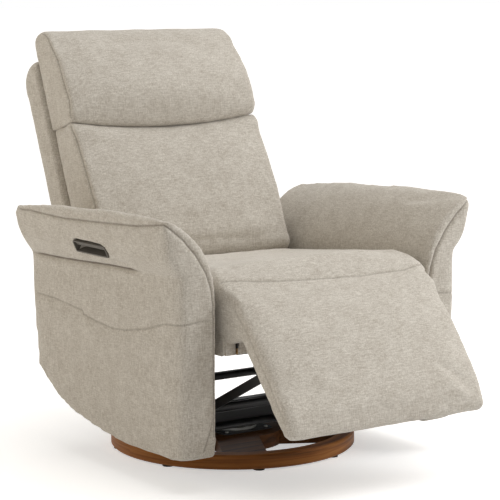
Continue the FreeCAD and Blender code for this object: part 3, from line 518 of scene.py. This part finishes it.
@dataclass
class SoftPiece:
    """One padded piece made from CAD solids: remeshed, inflated between its pinned seams, then sewn.

    Args:
        name: Name of the piece.
        body: Body that it rides on.
        nodes: CAD nodes that it stands for.
        lines: Seams and folds.
        fill: How tightly it is stuffed, from 0 to 1; not used.
        voxel: Size of the remesh.
        slack: How far it starts inside the CAD solid.
        cap: How far the cloth may move while it is inflated.
        pressure: Pressure inside it.
        wave: Height of its gentle undulation.
        obj: The piece itself.
        start: Place and normal of each point before the piece is inflated.
    """

    name: str
    body: str
    nodes: tuple[str, ...]
    lines: list[Line] = field(default_factory=list)
    fill: float = 0.7
    voxel: float = 0.007
    slack: float = 0.003
    cap: float = 0.010
    pressure: float = 4.0
    wave: float = 0.0008
    obj: bpy.types.Object | None = None
    start: list[tuple[Vector, Vector]] = field(default_factory=list)

    def shape(self, spot: Vector) -> Vector:
        """Place on the real cushion's fuller form of a point of the CAD solids."""
        return spot

    def held(self, spot: Vector, normal: Vector) -> bool:
        """Tell whether the cloth lies against a frame there and so doesn't swell."""
        return False

    def move_to(self, places: list[Vector]) -> None:
        """Put the points of the mesh at these places."""
        self.obj.data.vertices.foreach_set("co", [value for place in places for value in place])

    def shell(self) -> None:
        """Copy the CAD solids into one closed, evenly meshed shell."""
        bm = bmesh.new()
        for node in self.nodes:
            bm.from_mesh(frame["nodes"][node].data)
        bmesh.ops.remove_doubles(bm, verts=bm.verts, dist=1e-5)
        self.add_filler(bm)
        self.obj = place_mesh(self.name, bm)
        remesh = self.obj.modifiers.new("Remesh", "REMESH")
        remesh.mode = "VOXEL"
        remesh.voxel_size = self.voxel
        settle(self.obj)
        self.soften(1)
        self.move_to([self.shape(vertex.co) for vertex in self.obj.data.vertices])
        self.grow(-self.slack)

    def add_filler(self, bm: bmesh.types.BMesh) -> None:
        """Add what joins the solids, for a piece made from more than one."""

    def grow(self, amount: float) -> None:
        """Move the whole surface outwards, or inwards when the amount is negative."""
        self.move_to([vertex.co + vertex.normal * amount for vertex in self.obj.data.vertices])

    def soften(self, rounds: int) -> None:
        """Smooth the whole mesh a few times."""
        bm = bmesh.new()
        bm.from_mesh(self.obj.data)
        for _ in range(rounds):
            bmesh.ops.smooth_vert(bm, verts=bm.verts, factor=0.5, use_axis_x=True, use_axis_y=True, use_axis_z=True)
        bm.to_mesh(self.obj.data)
        bm.free()

    def surface(self) -> BVHTree:
        """Search tree of the mesh as it is now."""
        mesh = self.obj.data
        return BVHTree.FromPolygons([v.co for v in mesh.vertices], [p.vertices for p in mesh.polygons])

    def inflate_setup(self) -> None:
        """Pin the seams and give the shell its cloth."""
        group = self.obj.vertex_groups.new(name="pin")
        step = 0.004
        spots = [entry for line in self.lines if line.pinned for entry in line.on_surface(self.surface(), step)]
        if spots:
            near = KDTree(len(spots))
            for number, entry in enumerate(spots):
                near.insert(entry[0], number)
            near.balance()
            for vertex in self.obj.data.vertices:
                gap = near.find(vertex.co)[2]
                if gap < FREE:
                    group.add([vertex.index], 1 - smooth_step(gap, PINNED, FREE), "REPLACE")
        self.start = [(vertex.co.copy(), vertex.normal.copy()) for vertex in self.obj.data.vertices]
        still = [number for number, (spot, normal) in enumerate(self.start) if self.held(spot, normal)]
        group.add(still, 1.0, "ADD")
        cloth = self.obj.modifiers.new("Cloth", "CLOTH")
        cloth.settings.effector_weights.gravity = 0
        settings = {"quality": 4, "mass": 0.3, "use_pressure": True, "uniform_pressure_force": self.pressure,
                    "vertex_group_mass": "pin", "tension_stiffness": 12, "compression_stiffness": 12,
                    "bending_stiffness": 2.0}
        for key, value in settings.items():
            setattr(cloth.settings, key, value)

    def inflate_finish(self) -> None:
        """Take the inflated shape, with the movement capped, and leave no cloth on the piece."""
        if self.start:
            settle(self.obj)
            places = []
            for vertex, (old, normal) in zip(self.obj.data.vertices, self.start):
                move = vertex.co - old
                inward = min(0.0, move.dot(normal))
                move -= normal * inward * INWARD_CUT
                places.append(old + move * min(1.0, self.cap / max(move.length, 1e-9)))
            self.move_to(places)
        else:
            self.grow(self.slack)
        self.obj.vertex_groups.clear()
        self.soften(2)
        smoother = self.obj.modifiers.new("Subdivision", "SUBSURF")
        smoother.levels = smoother.render_levels = 1
        settle(self.obj)

    def sew(self) -> None:
        """Divide the mesh near the lines, then draw them in, paint shade along them and let the cloth ripple."""
        tree = self.surface()
        entries = [(line, entry) for line in self.lines for entry in line.on_surface(tree)]
        near = KDTree(max(1, len(entries)))
        for number, (_, entry) in enumerate(entries):
            near.insert(entry[0], number)
        near.balance()
        bm = bmesh.new()
        bm.from_mesh(self.obj.data)
        if entries:
            edges = [edge for edge in bm.edges
                     if near.find((edge.verts[0].co + edge.verts[1].co) / 2)[2] < FINE_REACH]
            bmesh.ops.subdivide_edges(bm, edges=edges, cuts=1, use_grid_fill=True, smooth=0.0)
        bmesh.ops.triangulate(bm, faces=[face for face in bm.faces if len(face.verts) > 4])
        bm.normal_update()
        # Painted shade along the lines goes into the seam_shade attribute.
        shades = bm.verts.layers.float.new("seam_shade")
        moves = []
        for vertex in bm.verts:
            # Wide waves of the filling, and smaller ones of the cloth on it.
            rise = noise.noise(vertex.co * 17) * self.wave + noise.noise(vertex.co * 41) * self.wave * 0.4
            shade = 0.0
            _, number, gap = near.find(vertex.co) if entries else (None, 0, 1.0)
            # A line leaves the far side of a thin piece alone.
            if gap < LINE_REACH and vertex.normal.dot(entries[number][1][1]) > -0.1:
                rise, shade = self.sewn(*entries[number], gap, rise)
            moves.append(vertex.normal * rise)
            vertex[shades] = shade
        move_smoothly(bm, moves)
        bm.to_mesh(self.obj.data)
        bm.free()

    def sewn(self, line: Line, entry: tuple[Vector, Vector, float, float], gap: float,
             rise: float) -> tuple[float, float]:
        """Height and painted shade that a line gives a point of the cloth.

        Args:
            line: The line nearest to it.
            entry: The line's nearest place, normal, distance along and strength.
            gap: Distance to it.
            rise: Height that the point has without the line.

        Returns:
            The new height and the painted shade.
        """
        along, strength = entry[2], entry[3]
        groove = math.exp(-((gap / line.width) ** 2))
        bank = math.exp(-(((gap - 3.2 * line.width) / (2.2 * line.width)) ** 2))
        ripple = noise.noise(Vector((along * 48, line.points[0][1] * 7, line.points[0][2] * 5)))
        rise += strength * (line.swell * bank - line.depth * groove + line.pucker * ripple * bank * 2)
        return rise, strength * line.shade * (1 - smooth_step(gap, 0.0008, 0.0034))

    def dress(self) -> None:
        """Give the piece its cloth, attach it, and hide the CAD nodes that it stands for."""
        self.obj.data.materials.clear()
        self.obj.data.materials.append(CHENILLE.material())
        self.attach()
        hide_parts(*self.nodes)
        LOG.info("%s: %d faces", self.name, len(self.obj.data.polygons))

    def attach(self) -> None:
        """Make the piece move with its body."""
        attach(self.obj, self.body)


@dataclass
class Arm(SoftPiece):
    """One arm. The cloth closes over the plywood frame inside it.

    Args:
        inner: Distance from the middle of the chair to the lower inner face.
        bend: Radius of the arc on which that face runs outwards above.
        bend_low: Height where the arc begins.
        rise: How much higher the rear of the crest stands.
        spread: How much further out it stands.
        dip: How much lower the front corner of the crest lies.
    """

    inner: float = 0.312
    bend: float = 0.2053
    bend_low: float = 0.45
    rise: float = 0.009
    spread: float = 0.006
    dip: float = 0.006

    def shape(self, spot: Vector) -> Vector:
        """Lay the inner face on its arc over the frame, and fill out the rear of the crest.

        Args:
            spot: Place on the CAD solids.

        Returns:
            Its place on the piece.
        """
        side, across = math.copysign(1.0, spot.x), abs(spot.x)
        y, z = spot.y, spot.z
        if 0.46 < z < 0.6:
            face = self.inner + self.bend - math.sqrt(self.bend**2 - (z - self.bend_low) ** 2)
            if face - 0.012 < across < face and -0.36 < y < 0.28:
                across = face
        rear = smooth_step(y, -0.08, 0.16) * smooth_step(z, 0.50, 0.60)
        corner = smooth_step(-y, 0.30, 0.387) * smooth_step(z, 0.56, 0.63)
        z += self.rise * rear - self.dip * corner
        return Vector((side * (across + self.spread * rear), y + 0.004 * rear, z))

    def held(self, spot: Vector, normal: Vector) -> bool:
        """Hold the lower inner face, which lies against the chassis plate."""
        return abs(spot.x) < 0.32 and abs(normal.x) > 0.8 and spot.z < self.bend_low


@dataclass
class BackPiece(SoftPiece):
    """A cushion on the leaning back, shaped in the back's own frame.

    Args:
        half: Half-width of the CAD solid.
        full: Half-width of the real cushion's front.
        side_round: How far from its side the solid's front begins to round off.
        squared: How much of that round is filled out.
        sag: How far the middle of the seam between the cushions sags.
        middle: Factor on the front's distance from the board at each height, halfway across.
        sides: The same at the sides.
    """

    half: float = 0.279
    full: float = 0.2915
    side_round: float = 0.022
    squared: float = 0.012
    sag: float = 0.024
    middle: Stops = ()
    sides: Stops = ()

    def shape(self, spot: Vector) -> Vector:
        """Fill the front and sides out to the full cushion, and let the seam between the cushions sag.

        Args:
            spot: Place on the CAD solid.

        Returns:
            Its place on the piece.
        """
        x, y, z = BACK_FRAME_IN @ spot
        edge = min(1.0, (x / self.half) ** 2)
        part = min(1.0, max(0.0, (abs(x) - self.half + self.side_round) / self.side_round))
        drawn = self.squared * (1 - math.sqrt(1 - part * part))
        ratio = read_line(z, self.middle) * (1 - edge) + read_line(z, self.sides) * edge
        front = smooth_step(-y, 0.045, 0.075)
        near = math.exp(-(((z - JOINT) / 0.09) ** 2))
        sag = 0.005 - smooth_step(-y, 0.01, 0.09) * (0.011 + self.sag * (1 - edge))
        x *= 1 + (self.full / self.half - 1) * front
        y = y * (ratio if y < 0 else 1.0) - drawn * front
        return BACK_FRAME @ Vector((x, y, self.raised(z, front, drawn) + sag * near))

    def raised(self, z: float, front: float, drawn: float) -> float:
        """Height of a point after the ends are filled out. The front runs from 0 at the rear to 1."""
        raise NotImplementedError

    def touching(self, z: float) -> float:
        """How far the end at the joint comes out there to meet the other cushion."""
        return 0.004 * math.exp(-(((z - JOINT) / 0.02) ** 2))

    def held(self, spot: Vector, normal: Vector) -> bool:
        """Hold the rear, which lies against the shell."""
        return (BACK_FRAME_IN.to_3x3() @ normal).y > 0.8


@dataclass
class BackCushion(BackPiece):
    """The lower cushion of the back."""

    middle: Stops = ((0.05, 1.28), (0.214, 1.15), (0.39, 1.10))
    sides: Stops = ((0.02, 1.39), (0.179, 1.39), (0.263, 1.30), (0.39, 1.14))

    def raised(self, z: float, front: float, drawn: float) -> float:
        """Bring the front down to the seat, and the top up to the headrest."""
        return z - 0.020 * front * smooth_step(-z, -0.14, -0.05) + self.touching(z)


@dataclass
class Headrest(BackPiece):
    """The upper cushion of the back."""

    half: float = 0.285
    middle: Stops = ((0.413, 1.28), (0.45, 1.28), (0.516, 1.19), (0.60, 1.12), (0.656, 1.0))
    sides: Stops = ((0.413, 1.34), (0.45, 1.42), (0.516, 1.36), (0.566, 1.29), (0.60, 1.2), (0.642, 1.06),
                    (0.656, 1.0))

    def raised(self, z: float, front: float, drawn: float) -> float:
        """Make the top higher and squarer, and bring the bottom down to the back cushion."""
        top = smooth_step(z, 0.58, 0.65)
        return z + 0.014 * smooth_step(z, 0.5, 0.65) + drawn * top - self.touching(z)


@dataclass
class BackShell(SoftPiece):
    """Padded shell round the back board.

    Args:
        widened: Share by which it is wider where the side plates leave room.
    """

    widened: float = 0.04

    def shape(self, spot: Vector) -> Vector:
        """Fill the sides out above and behind the steel side plates."""
        x, y, z = BACK_FRAME_IN @ spot
        free = max(smooth_step(y, 0.034, 0.056), smooth_step(z, 0.18, 0.23))
        return BACK_FRAME @ Vector((x * (1 + self.widened * free), y, z))


@dataclass
class Chaise(SoftPiece):
    """Seat top and footrest pad under one cover that bends over the hinge between them.

    Args:
        rear_rise: How much fuller the rear of the seat is, where the back cushion rests on it.
        roll: Radius of the filling over the hinge.
        width: Length of that filling.
        hinge: Its distance forward of the swivel axis, and its height.
        pad_back: Direction in which the back of the pad faces.
    """

    rear_rise: float = 0.007
    roll: float = 0.063
    width: float = 0.584
    hinge: tuple[float, float] = (-0.395, 0.405)
    pad_back: Point = (0.0, 0.766, -0.643)

    def shape(self, spot: Vector) -> Vector:
        """Fill out the rear of the seat."""
        rear = smooth_step(spot.y, -0.05, 0.08) * smooth_step(spot.z, 0.40, 0.44)
        return Vector((spot.x, spot.y, spot.z + self.rear_rise * rear))

    def held(self, spot: Vector, normal: Vector) -> bool:
        """Hold the underside, which lies on the webbing, and the back of the pad on its board."""
        return normal.z < -0.8 or (spot.y < -0.40 and normal.dot(Vector(self.pad_back)) > 0.85)

    def add_filler(self, bm: bmesh.types.BMesh) -> None:
        """Fill the hollow over the hinge, so that the cover runs on without a step."""
        made = bmesh.ops.create_cone(bm, cap_ends=True, segments=40, radius1=self.roll, radius2=self.roll,
                                     depth=self.width)
        forward, height = self.hinge
        for vertex in made["verts"]:
            across, up = vertex.co.z, vertex.co.x
            vertex.co = Vector((across, forward + vertex.co.y, height + up))
        bm.from_mesh(frame["nodes"]["footrest_board"].data)

    def attach(self) -> None:
        """Bake the cover's placement into its mesh, without tying it to the seat or the footrest."""
        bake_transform(self.obj)


@dataclass
class Upholstery:
    """All the padded pieces of the chair."""

    pieces: list[SoftPiece] = field(default_factory=list)

    def crest_seam(self) -> Line:
        """Seam along the outer edge of the right arm's top, round its front and down the inner front edge."""
        return Line([(-0.444, 0.295, 0.598), (-0.4533, 0.213, 0.6041), (-0.4593, 0.0471, 0.6012),
                     (-0.462, -0.1049, 0.6072), (-0.4611, -0.2772, 0.6157), (-0.4601, -0.3426, 0.6242),
                     (-0.450, -0.376, 0.628), (-0.442, -0.3861, 0.6219), (-0.4044, -0.387, 0.5923),
                     (-0.3707, -0.387, 0.5553), (-0.3402, -0.387, 0.5095), (-0.3251, -0.387, 0.4679),
                     (-0.319, -0.387, 0.43), (-0.317, -0.387, 0.30), (-0.317, -0.387, 0.13)],
                    depth=0.0035, shade=0.5, swell=0.0016)

    def roll_seam(self) -> Line:
        """Seam under the roll of the right arm, from its rear edge to the front."""
        return Line([(-0.417, 0.30, 0.487), (-0.4175, 0.1219, 0.4909), (-0.4177, -0.1014, 0.4999),
                     (-0.4165, -0.25, 0.5018)], depth=0.006, width=0.0045, shade=0.85, swell=0.002, fade=0.07)

    def pocket_seams(self) -> list[Line]:
        """Pocket mouth on the outer panel of the right arm and the low seam of its front."""
        mouth = Line([(-0.4151, 0.2757, 0.3898), (-0.4167, 0.173, 0.3873), (-0.418, 0.10, 0.381),
                      (-0.418, 0.0402, 0.3758), (-0.418, 0.0328, 0.367), (-0.418, -0.0267, 0.3581),
                      (-0.418, -0.0991, 0.3513), (-0.4177, -0.1558, 0.355), (-0.417, -0.238, 0.3696),
                      (-0.4162, -0.3245, 0.3932), (-0.401, -0.3802, 0.3961), (-0.3537, -0.387, 0.4013),
                      (-0.3195, -0.387, 0.4022)], depth=0.0012, width=0.0026, shade=0.32, swell=0.0006, pucker=0.0003,
                     fade=0.03)
        low = Line([(-0.3202, -0.387, 0.1775), (-0.3341, -0.387, 0.135), (-0.3509, -0.387, 0.093)],
                   depth=0.0025, shade=0.4, fade=0.01)
        return [mouth, low]

    def slot_creases(self) -> list[Line]:
        """Soft puckers that run out from both ends of the release lever's slot."""
        runs = [[(-0.447, -0.122, 0.545), (-0.446, -0.155, 0.549), (-0.448, -0.20, 0.560)],
                [(-0.434, -0.126, 0.522), (-0.430, -0.165, 0.515), (-0.428, -0.21, 0.511)],
                [(-0.452, 0.026, 0.553), (-0.454, 0.060, 0.560)], [(-0.438, 0.028, 0.524), (-0.436, 0.070, 0.518)]]
        return [Line(run, depth=0.0028, width=0.008, shade=0.0, swell=0.0016, pinned=False, fade=0.03)
                for run in runs]

    def arm(self, side: Side) -> SoftPiece:
        """One upholstered arm with its seams."""
        lines = [self.crest_seam(), self.roll_seam(), *self.pocket_seams()]
        if side is Side.LEFT:
            lines = [line.mirrored() for line in lines]
        else:
            lines += self.slot_creases()
        return Arm(f"arm_upholstery_{side.word}", "chassis", (f"arm_{side.word}", f"arm_frame_{side.word}"), lines,
                   fill=0.75, voxel=0.0078, slack=0.0025, cap=0.006, pressure=3.0, wave=0.0010)

    def chaise(self) -> SoftPiece:
        """Seat and footrest cover with the cross seam on the front lip."""
        lip = Line([(-0.2953, -0.3754, 0.4857), (-0.1982, -0.3931, 0.4804), (-0.0803, -0.3985, 0.474),
                    (0.0145, -0.4002, 0.4705), (0.1003, -0.4012, 0.468), (0.2284, -0.3991, 0.4713),
                    (0.2953, -0.385, 0.478)], depth=0.0014, width=0.0028, shade=0.3, swell=0.0007)
        lines = [lip]
        for sign in (-1, 1):
            lines.append(Line([(sign * 0.286, -0.41, 0.44), (sign * 0.286, -0.4757, 0.375),
                               (sign * 0.286, -0.56, 0.27), (sign * 0.286, -0.62, 0.19)],
                              depth=0.001, shade=0.18, swell=0.0008, fade=0.03))
        return Chaise("chaise_cover", "seat", ("seat_cushion", "footrest_pad"), lines, fill=0.8, voxel=0.0088,
                      slack=0.002, cap=0.008, wave=0.0014)

    def back(self) -> SoftPiece:
        """Back cushion with its gusset seams."""
        left = self.gusset([(-0.105, 0.388), (-0.116, 0.35), (-0.127, 0.263), (-0.136, 0.179), (-0.136, 0.05)])
        return BackCushion("back_cushion_cover", "back", ("back_cushion",), [left, left.mirrored()], fill=0.8,
                           wave=0.0012)

    def headrest(self) -> SoftPiece:
        """Headrest cushion with its gusset seams."""
        left = self.gusset([(-0.055, 0.660), (-0.075, 0.636), (-0.105, 0.566), (-0.121, 0.45), (-0.110, 0.405)])
        return Headrest("headrest_cover", "back", ("headrest_cushion",), [left, left.mirrored()], fill=0.85,
                        wave=0.0010)

    def gusset(self, points: list[tuple[float, float]]) -> Line:
        """Seam between the front panel and the right side panel, from (y, z) points in the back's frame."""
        return Line([tuple(BACK_FRAME @ Vector((-0.288, y, z))) for y, z in points], depth=0.0016, width=0.003,
                    shade=0.4, swell=0.0008)

    def shell(self) -> SoftPiece:
        """Padded shell round the back board."""
        return BackShell("back_shell_cover", "back", ("back_shell",), [], fill=0.4, slack=0.001, cap=0.003,
                         pressure=1.0, wave=0.0008)

    def build(self) -> None:
        """Make every padded piece, all inflated in one run."""
        self.pieces = [self.arm(Side.RIGHT), self.arm(Side.LEFT), self.chaise(), self.back(), self.headrest(),
                       self.shell()]
        for piece in self.pieces:
            piece.shell()
        for piece in self.pieces:
            piece.inflate_setup()
        for number in range(1, CLOTH_FRAMES + 1):
            bpy.context.scene.frame_set(number)
        for piece in self.pieces:
            piece.inflate_finish()
        bpy.context.scene.frame_set(1)
        for piece in self.pieces:
            piece.sew()
            piece.dress()


@dataclass
class SeatCloths:
    """Border, dust cloth and webbing of the seat box, each a thin stretched cloth.

    Args:
        half: Distance from the middle of the chair to the border.
        front, rear: Distances from the swivel axis to the front and rear of the seat box.
        low, high: Heights of the underside of the box and of the cushion on it.
        corner: Radius of the border's lower front corners.
        dust_width: Width of the dust cloth.
        strap: Width of a webbing strap.
        across: Length of the straps that run across.
        wave: Height of the cloths' gentle undulation.
        mesh: Size of a face.
    """

    half: float = 0.2892
    front: float = 0.384
    rear: float = 0.195
    low: float = 0.312
    high: float = 0.380
    corner: float = 0.014
    dust_width: float = 0.51
    strap: float = 0.05
    across: float = 0.576
    wave: float = 0.0007
    mesh: float = 0.012

    @property
    def length(self) -> float:
        """Length of the seat box."""
        return self.rear + self.front

    @property
    def middle(self) -> float:
        """Place of its middle along Y."""
        return (self.rear - self.front) / 2

    def strip(self, bm: bmesh.types.BMesh, centre: Point, width: float, length: float, turn: Matrix) -> None:
        """Add a finely divided strip, its length along Y before it is turned."""
        place = Matrix.Translation(centre) @ turn @ Matrix.Diagonal((width, length, 1, 1))
        bmesh.ops.create_grid(bm, x_segments=max(2, round(width / self.mesh)), y_segments=round(length / self.mesh),
                              size=0.5, matrix=place)

    def cloth(self, name: str, bm: bmesh.types.BMesh, node: str, finish: Finish, thick: float,
              size: tuple[float, float], slot: str) -> None:
        """Args:
            name: Name of the piece.
            bm: The strips.
            node: CAD node that it stands for.
            finish: Its material.
            thick: Thickness of the cloth.
            size: Width and length that it was cut to; not used.
            slot: Material slot of the record; not used.
        """
        bm.normal_update()
        move_smoothly(bm, [vertex.normal * noise.noise(vertex.co * 14) * self.wave for vertex in bm.verts])
        piece = place_mesh(name, bm)
        body = piece.modifiers.new("Thickness", "SOLIDIFY")
        body.thickness, body.offset = thick, 0.0
        settle(piece)
        piece.data.materials.append(finish.material())
        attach(piece, "seat")
        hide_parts(node)
        LOG.info("%s: %d faces", name, len(piece.data.polygons))

    def build(self) -> None:
        """Make the three cloths."""
        self.border()
        dust = bmesh.new()
        self.strip(dust, (0, self.middle, 0.3142), self.dust_width, self.length, Matrix.Identity(4))
        self.cloth("dust_cloth", dust, "dust_cover", DUST_CLOTH, 0.0010, (self.dust_width, self.length), "dust_cloth")
        self.webbing()

    def border(self) -> None:
        """Make the border: a long strip on each side, and the front in three strips between and beside the rails."""
        border, upright = bmesh.new(), Matrix.Rotation(math.radians(90), 4, "Y")
        for side in Side:
            self.strip(border, (side.value * self.half, self.middle, (self.low + self.high) / 2),
                       self.high - self.low, self.length, upright)
        for vertex in border.verts:
            gap = Vector((self.front - self.corner + vertex.co.y, vertex.co.z - self.low - self.corner))
            if gap.x < 0 and gap.y < 0 and gap.length > self.corner:
                gap *= self.corner / gap.length
                vertex.co.y, vertex.co.z = gap.x - self.front + self.corner, gap.y + self.low + self.corner
        facing = Matrix.Rotation(math.radians(90), 4, "Z") @ upright
        for x, length in ((0, 0.508), (-0.2755, 0.027), (0.2755, 0.027)):
            self.strip(border, (x, -self.front - 0.001, 0.3475), 0.065, length, facing)
        self.cloth("seat_border_cloth", border, "seat_border", CHENILLE, 0.0022, (0.068, 1.695), "upholstery")

    def webbing(self) -> None:
        """Make the webbing: four straps lengthways under five across."""
        straps = bmesh.new()
        for x in (-0.17, -0.06, 0.06, 0.17):
            self.strip(straps, (x, self.middle, 0.3762), self.strap, self.length, Matrix.Identity(4))
        for y in (-0.3, -0.19, -0.08, 0.03, 0.13):
            self.strip(straps, (0, y, 0.3782), self.strap, self.across, Matrix.Rotation(math.radians(90), 4, "Z"))
        self.cloth("webbing_straps", straps, "seat_webbing", WEBBING, 0.0012, (self.strap, 5.196), "webbing")


@dataclass
class HardParts:
    """CAD nodes whose shapes stay as they are and get a finish."""

    def build(self) -> None:
        """Give each node the finish of its material slot, with the ring's own grain."""
        for part in frame["record"]["subparts"]:
            node = frame["nodes"].get(part["node"])
            if node is None:
                continue
            finish = RING_WOOD if part["node"] == "base_ring" else SLOT_FINISHES[part["material_slot"]]
            node.data.materials.clear()
            node.data.materials.append(finish.material())
            LOG.info("%s: %s", part["node"], finish.name)


@dataclass
class Studio:
    """Floor, lights, white surroundings and the camera.

    Args:
        azimuth, pitch: Angles of the camera round the chair and down, degrees.
        distance: How far it stands from its target.
        lens: Its focal length, millimetres.
        target_right, target_height: How far right of the swivel axis it looks, and how high.
        floor_glow: Light of the floor's own.
        ambient: Colour of the light from the surroundings.
        overhead, key, fill: Powers of the lights from above, in front and on the side that shows.
    """

    azimuth: float = -35.5
    pitch: float = 7.9
    distance: float = 4.94
    lens: float = 141.5
    target_right: float = 0.044
    target_height: float = 0.493
    floor_glow: float = 0.5
    ambient: Point = (0.29, 0.268, 0.235)
    overhead: float = 1.3
    key: float = 74
    fill: float = 23

    def build(self) -> None:
        """Make the floor, the lights and the camera."""
        self.floor()
        self.world()
        self.lights()
        self.camera()

    def floor(self) -> None:
        """Make a pale floor, bright enough to read as white away from the chair's shadow."""
        bm = bmesh.new()
        bmesh.ops.create_grid(bm, x_segments=1, y_segments=1, size=60)
        floor = place_mesh("floor", bm)
        made = bpy.data.materials.new("studio_floor")
        made.use_nodes = True
        shader = made.node_tree.nodes["Principled BSDF"]
        shader.inputs["Base Color"].default_value = linear("#f4f4f4")
        shader.inputs["Roughness"].default_value = 0.95
        shader.inputs["Specular IOR Level"].default_value = 0.1
        # A little light of its own, for the camera and reflections only, lifts the open floor to white.
        level = add(made.node_tree, "ShaderNodeMath", {"operation": "MULTIPLY", 1: self.floor_glow},
                    {0: seen_ray(made.node_tree)[1]})
        made.node_tree.links.new(level.outputs[0], shader.inputs["Emission Strength"])
        shader.inputs["Emission Color"].default_value = (1, 1, 1, 1)
        floor.data.materials.append(made)

    def world(self) -> None:
        """Make the surroundings: white to the camera and in reflections, and softer and warmer as light."""
        world = bpy.data.worlds.new("studio")
        bpy.context.scene.world = world
        world.use_nodes = True
        tree = world.node_tree
        path, shiny = seen_ray(tree)
        seen = add(tree, "ShaderNodeMath", {"operation": "MAXIMUM"},
                   {0: shiny, 1: path.outputs["Is Transmission Ray"]})
        colour = add(tree, "ShaderNodeMix", {"data_type": "RGBA", 6: (*self.ambient, 1), 7: (1, 1, 1, 1)},
                     {0: seen.outputs[0]})
        tree.links.new(colour.outputs[2], tree.nodes["Background"].inputs["Color"])

    def lights(self) -> None:
        """Add soft light from above, a broad key in front on the sitter's left, and a fill on the side that shows."""
        sun = bpy.data.lights.new("overhead", "SUN")
        sun.energy = self.overhead
        sun.angle = math.radians(60)
        above = linked("overhead", sun)
        above.rotation_euler = Vector((0.2, -0.02, 0.97)).to_track_quat("Z", "Y").to_euler()
        self.area("key", (2.9, -2.1, 2.5), 2.4, self.key)
        self.area("side_fill", (-3.2, 1.3, 1.3), 2.2, self.fill, "#fff3e0")

    def area(self, name: str, spot: Point, size: float, power: float, colour: str = "#ffffff") -> None:
        """Add a square soft light that looks at the middle of the chair.

        Args:
            name: Name of the light.
            spot: Where it hangs.
            size: Length of its side, metres.
            power: Watts.
            colour: Its colour.
        """
        lamp = bpy.data.lights.new(name, "AREA")
        lamp.size = size
        lamp.energy = power
        lamp.color = linear(colour)[:3]
        obj = linked(name, lamp)
        obj.location = spot
        obj.rotation_euler = (Vector(spot) - Vector((0, 0, 0.5))).to_track_quat("Z", "Y").to_euler()

    def camera(self) -> None:
        """Stand the camera at the photograph's angle, its lens set for a frame 500 by 500."""
        turn, tilt = math.radians(self.azimuth), math.radians(self.pitch)
        target = Vector((math.cos(turn), math.sin(turn), 0)) * self.target_right + Vector((0, 0, self.target_height))
        forward = Vector((-math.sin(turn) * math.cos(tilt), math.cos(turn) * math.cos(tilt), -math.sin(tilt)))
        lens = bpy.data.cameras.new("camera")
        lens.sensor_width = 36
        lens.lens = self.lens
        lens.clip_end = 200
        camera = linked("camera", lens)
        camera.location = target - forward * self.distance
        camera.rotation_euler = (math.pi / 2 - tilt, 0, turn)
        bpy.context.scene.camera = camera


def main() -> None:
    """Dress the frame, then build the studio."""
    logging.basicConfig(level=logging.INFO)
    bpy.context.scene.view_settings.view_transform = "Standard"
    HardParts().build()
    Upholstery().build()
    SeatCloths().build()
    Studio().build()


if __name__ == "__main__":
    main()
